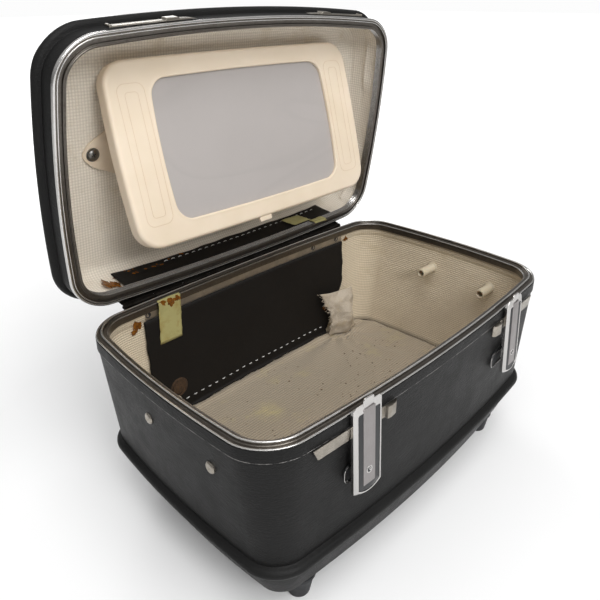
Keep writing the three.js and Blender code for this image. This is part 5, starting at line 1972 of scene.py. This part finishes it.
def build_bracket_ears():
    """The cream ears screwed to the lid beside the mirror, each a rounded triangle with a lip."""
    for label, side in SIDES:
        tip = Vector((side * EAR_TIP[0], EAR_TIP[1]))
        inner_x = side * EAR_ROOT_X
        corners = [(inner_x, -33), (tip.x + side * 2.5, tip.y - 10.5), (tip.x + side * 10.5, tip.y),
                   (tip.x + side * 2.5, tip.y + 10.5), (inner_x, 18)]
        softened = soften([(x, y, 5.5 if abs(x) > 130 else 1.0) for x, y in corners], True, 7)
        shape = [(p.x, p.y) for p in softened]
        ear = plate_mesh(shape, EAR_LOW, EAR_HIGH, 0.5, "Z")
        arm_ends = sorted((side * EAR_ROOT_X, side * EAR_WEB_X))
        arm = [(-22.2, 44.4), (-14.2, 13.6), (-4.2, 13.6), (3.8, 44.4)]
        web = plate_mesh(arm, *arm_ends, 0.3, "X")
        boss = [(0, -1.3), (4.6, -1.3), (5, -0.9), (5, 0.9), (4.6, 1.3), (0, 1.3)]
        turn = (Matrix.Translation((side * EAR_HUB_X, MIRROR_PIVOT.y, MIRROR_PIVOT.z))
                @ Matrix.Rotation(math.pi / 2, 4, "Y"))
        hub = moved(lathe_mesh(boss, 32), turn)
        mesh = merged(ear, web, hub)
        finish_mesh(f"bracket_{label}_ear", mesh, "lid", LID, CREAM,
                    [f"mirror_bracket_{label}"])
        build_ear_screw(label, tip)


def build_ear_screw(label, tip):
    """A washer and a cross-head screw; the cross is two dark bars, painted shade for the recess."""
    washer = lathe_mesh([(3, 1.9), (5.8, 1.9), (6, 1.6), (6, 1.0), (3, 1.0), (3, 1.9)], 36)
    head = lathe_mesh([(0, 3.2), (1.6, 3.1), (3.2, 2.6), (4.1, 1.8), (4.2, 1.2), (0, 1.2)], 36)
    turn = turned((tip.x, tip.y, 44.0), math.pi, "X")
    # Painted shade: the cross recess is two dark bars set into the head.
    cross_slot_shades = []
    for spin in (0.5, 0.5 + math.pi / 2):
        cross_slot_shade = plate_mesh(rounded_rectangle(-2.1, 2.1, -0.4, 0.4, 0.3), 2.7, 3.26, 0, "Z")
        cross_slot_shades.append(moved(cross_slot_shade, turn @ Matrix.Rotation(spin, 4, "Z")))
    mesh = merged(moved(washer, turn), moved(head, turn))
    finish_mesh(f"screw_{label}_head", mesh, "lid", LID, STEEL, [f"mirror_screw_{label}"])
    finish_mesh(f"screw_{label}_cross", merged(*cross_slot_shades), "lid", LID, INLAY)


# ------------------------------------------------------------------ handle

HANDLE_ARM_X = 70
HANDLE_POST_X = 62
BAIL_SIDES = 20


def build_handle():
    """A moulded bail with a thicker grip, between two nickel posts."""
    path = [(-70, 0), (-69.5, 14), (-60, 25), (-44, 30), (-22, 32), (0, 32.5),
            (22, 32), (44, 30), (60, 25), (69.5, 14), (70, 0)]
    fine = soften([(x, y, 7) for x, y in path], False, 6)
    rings = []
    for i, point in enumerate(fine):
        ahead = fine[min(i + 1, len(fine) - 1)]
        behind = fine[max(i - 1, 0)]
        forward = (ahead - behind).normalized()
        side = Vector((forward.y, -forward.x, 0))
        grip = max(0, 1 - (abs(point.x) / 50) ** 4)
        wide, high = 4.2 + 2.6 * grip, 5.0 + 1.6 * grip
        ring = []
        for k in range(BAIL_SIDES):
            angle = 2 * math.pi * k / BAIL_SIDES
            ring.append(Vector((point.x, point.y, 0)) + side * wide * math.cos(angle)
                        + Vector((0, 0, high * math.sin(angle))))
        rings.append(ring)
    bail = tube_mesh(rings)
    eyes = []
    for _, side in SIDES:
        eye = [(2.7, -3.4), (4.9, -3.4), (5.4, -2.9), (5.4, 2.9), (4.9, 3.4), (2.7, 3.4), (2.7, -3.4)]
        turn = turned((side * HANDLE_ARM_X, 0, 0), math.pi / 2, "Y")
        eyes.append(moved(lathe_mesh(eye, 32), turn))
    lift = Matrix.Translation((0, 0, HANDLE_AXIS_Z))
    mesh = moved(merged(bail, *eyes), lift)
    finish_mesh("handle_bail", mesh, "handle", LID, SHELL, ["handle_grip"])


def build_handle_brackets():
    base = LID_TOP + LID_DOME + GAP
    for label, side in SIDES:
        post_x = sorted((side * (HANDLE_POST_X - 2), side * (HANDLE_POST_X + 3.4)))
        foot_x = sorted((side * (HANDLE_POST_X - 14), side * (HANDLE_POST_X + 3.4)))
        foot = plate_mesh(rounded_rectangle(*foot_x, -9, 9, 2.5), base, base + 1.8, 0.5, "Z")
        post_shape = [(-5, base + 0.4), (5, base + 0.4), (5, HANDLE_AXIS_Z)]
        post_shape += [(5 * math.cos(a), HANDLE_AXIS_Z + 5 * math.sin(a)) for a in
                       (math.radians(d) for d in range(15, 180, 15))]
        post_shape += [(-5, HANDLE_AXIS_Z)]
        post = plate_mesh(post_shape, *post_x, 0.5, "X")
        stub_ends = sorted((side * HANDLE_POST_X, side * (HANDLE_ARM_X + 5)))
        length = stub_ends[1] - stub_ends[0]
        stub = [(0, -length / 2), (2.0, -length / 2), (2.4, -length / 2 + 0.4), (2.4, length / 2 - 0.4),
                (2.0, length / 2), (0, length / 2)]
        turn = turned((sum(stub_ends) / 2, 0, HANDLE_AXIS_Z), math.pi / 2, "Y")
        pin = moved(lathe_mesh(stub, 28), turn)
        mesh = merged(foot, post, pin)
        finish_mesh(f"handle_{label}_post", mesh, "lid", LID, NICKEL, [f"handle_bracket_{label}"])


# ------------------------------------------------------------------ CAD nodes kept as they are


def dress_cad_nodes():
    """Gives each CAD node that stays in view its material."""
    kept = {
        STEEL: ["latch_pin_left", "latch_pin_right", "mirror_pin_left", "mirror_pin_right"],
        BOARD: ["floor_board"],
        CREAM: ["mirror_back"],
    }
    for material, names in kept.items():
        for name in names:
            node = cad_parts[name]
            node.data.materials.clear()
            node.data.materials.append(material)


# ------------------------------------------------------------------ stage, light and camera

FOCAL_LENGTH = 36.16
SENSOR = 36
CAMERA_MM = Vector((-373.9, -326.2, 260.0))
CAMERA_TURN = tuple(math.radians(angle) for angle in (68.34, 0.36, -44.60))
CAMERA_SHIFT = (0.0113, -0.110)
FLOOR_HALF = 14  # metres


def build_stage():
    floor = bpy.data.meshes.new("floor")
    corners = [(sx * FLOOR_HALF, sy * FLOOR_HALF, 0) for sx, sy in ((-1, -1), (1, -1), (1, 1), (-1, 1))]
    floor.from_pydata(corners, [], [(0, 1, 2, 3)])
    stage = bpy.data.objects.new("floor", floor)
    bpy.context.scene.collection.objects.link(stage)
    stage.data.materials.append(pale_floor())
    build_world()
    bpy.context.scene.view_settings.view_transform = "Standard"


def build_world():
    """White to the camera; to the surfaces, a dim room that is lightest overhead."""
    world = bpy.data.worlds.new("studio")
    bpy.context.scene.world = world
    world.use_nodes = True
    tree = world.node_tree
    tree.nodes.clear()
    seen = tree.nodes.new("ShaderNodeBackground")
    seen.inputs[0].default_value = (1, 1, 1, 1)
    seen.inputs[1].default_value = 0.98
    room = tree.nodes.new("ShaderNodeBackground")
    where = tree.nodes.new("ShaderNodeTexCoord")
    height = tree.nodes.new("ShaderNodeSeparateXYZ")
    tree.links.new(where.outputs["Generated"], height.inputs[0])
    ramp = tree.nodes.new("ShaderNodeMapRange")
    ramp.inputs["From Min"].default_value = 0.05
    ramp.inputs["From Max"].default_value = 0.9
    ramp.inputs["To Min"].default_value = 0.16
    ramp.inputs["To Max"].default_value = 0.85
    tree.links.new(height.outputs[2], ramp.inputs[0])
    tree.links.new(ramp.outputs[0], room.inputs[1])
    camera_ray = tree.nodes.new("ShaderNodeLightPath")
    mixed = tree.nodes.new("ShaderNodeMixShader")
    tree.links.new(camera_ray.outputs["Is Camera Ray"], mixed.inputs[0])
    tree.links.new(room.outputs[0], mixed.inputs[1])
    tree.links.new(seen.outputs[0], mixed.inputs[2])
    out = tree.nodes.new("ShaderNodeOutputWorld")
    tree.links.new(mixed.outputs[0], out.inputs[0])


def soft_light(name, place, target, size, power):
    lamp = bpy.data.lights.new(name, "AREA")
    lamp.shape = "RECTANGLE"
    lamp.size, lamp.size_y = size
    lamp.energy = power
    light = bpy.data.objects.new(name, lamp)
    light.location = place
    light.rotation_euler = (Vector(target) - Vector(place)).to_track_quat("-Z", "Y").to_euler()
    bpy.context.scene.collection.objects.link(light)


def build_lights():
    middle = (0, 0, 0.15)
    soft_light("overhead", (-0.3, -0.8, 1.8), middle, (1.3, 1.3), 21.5)
    soft_light("key", (-0.45, -1.7, 1.25), (0, 0, 0.3), (0.7, 0.5), 14)
    soft_light("rear", (0.7, 1.9, 1.1), middle, (1.0, 0.7), 10)


def build_camera():
    data = bpy.data.cameras.new("photo_view")
    data.sensor_width = SENSOR
    data.lens = FOCAL_LENGTH
    data.shift_x, data.shift_y = CAMERA_SHIFT
    data.clip_start = 0.01
    camera = bpy.data.objects.new("photo_view", data)
    camera.location = BASE @ CAMERA_MM
    camera.rotation_euler = CAMERA_TURN
    bpy.context.scene.collection.objects.link(camera)
    bpy.context.scene.camera = camera


# ------------------------------------------------------------------ everything


def build_base():
    build_base_shell()
    build_bottom_pan()
    build_feet()
    build_base_rim()
    build_base_lining()
    build_floor_pad()
    build_crumbs()
    build_back_board()
    build_stitches()
    build_back_strip()
    build_rust_spot()
    build_glue()
    build_tapes()
    build_flap()
    build_pegs()
    for label, side in SIDES:
        build_lever(label, side)
        build_bracket(label, side)
        build_striker(label, side)


def build_lid():
    build_lid_shell()
    build_lid_top()
    build_lid_lining()
    build_lid_rim()
    build_hinge_cover()
    for label, side in SIDES:
        build_keeper(label, side)
    build_mirror_frame()
    build_mirror_glass()
    build_bracket_ears()
    build_handle()
    build_handle_brackets()
    build_hinge()


build_base()
build_lid()
dress_cad_nodes()
build_stage()
build_lights()
build_camera()
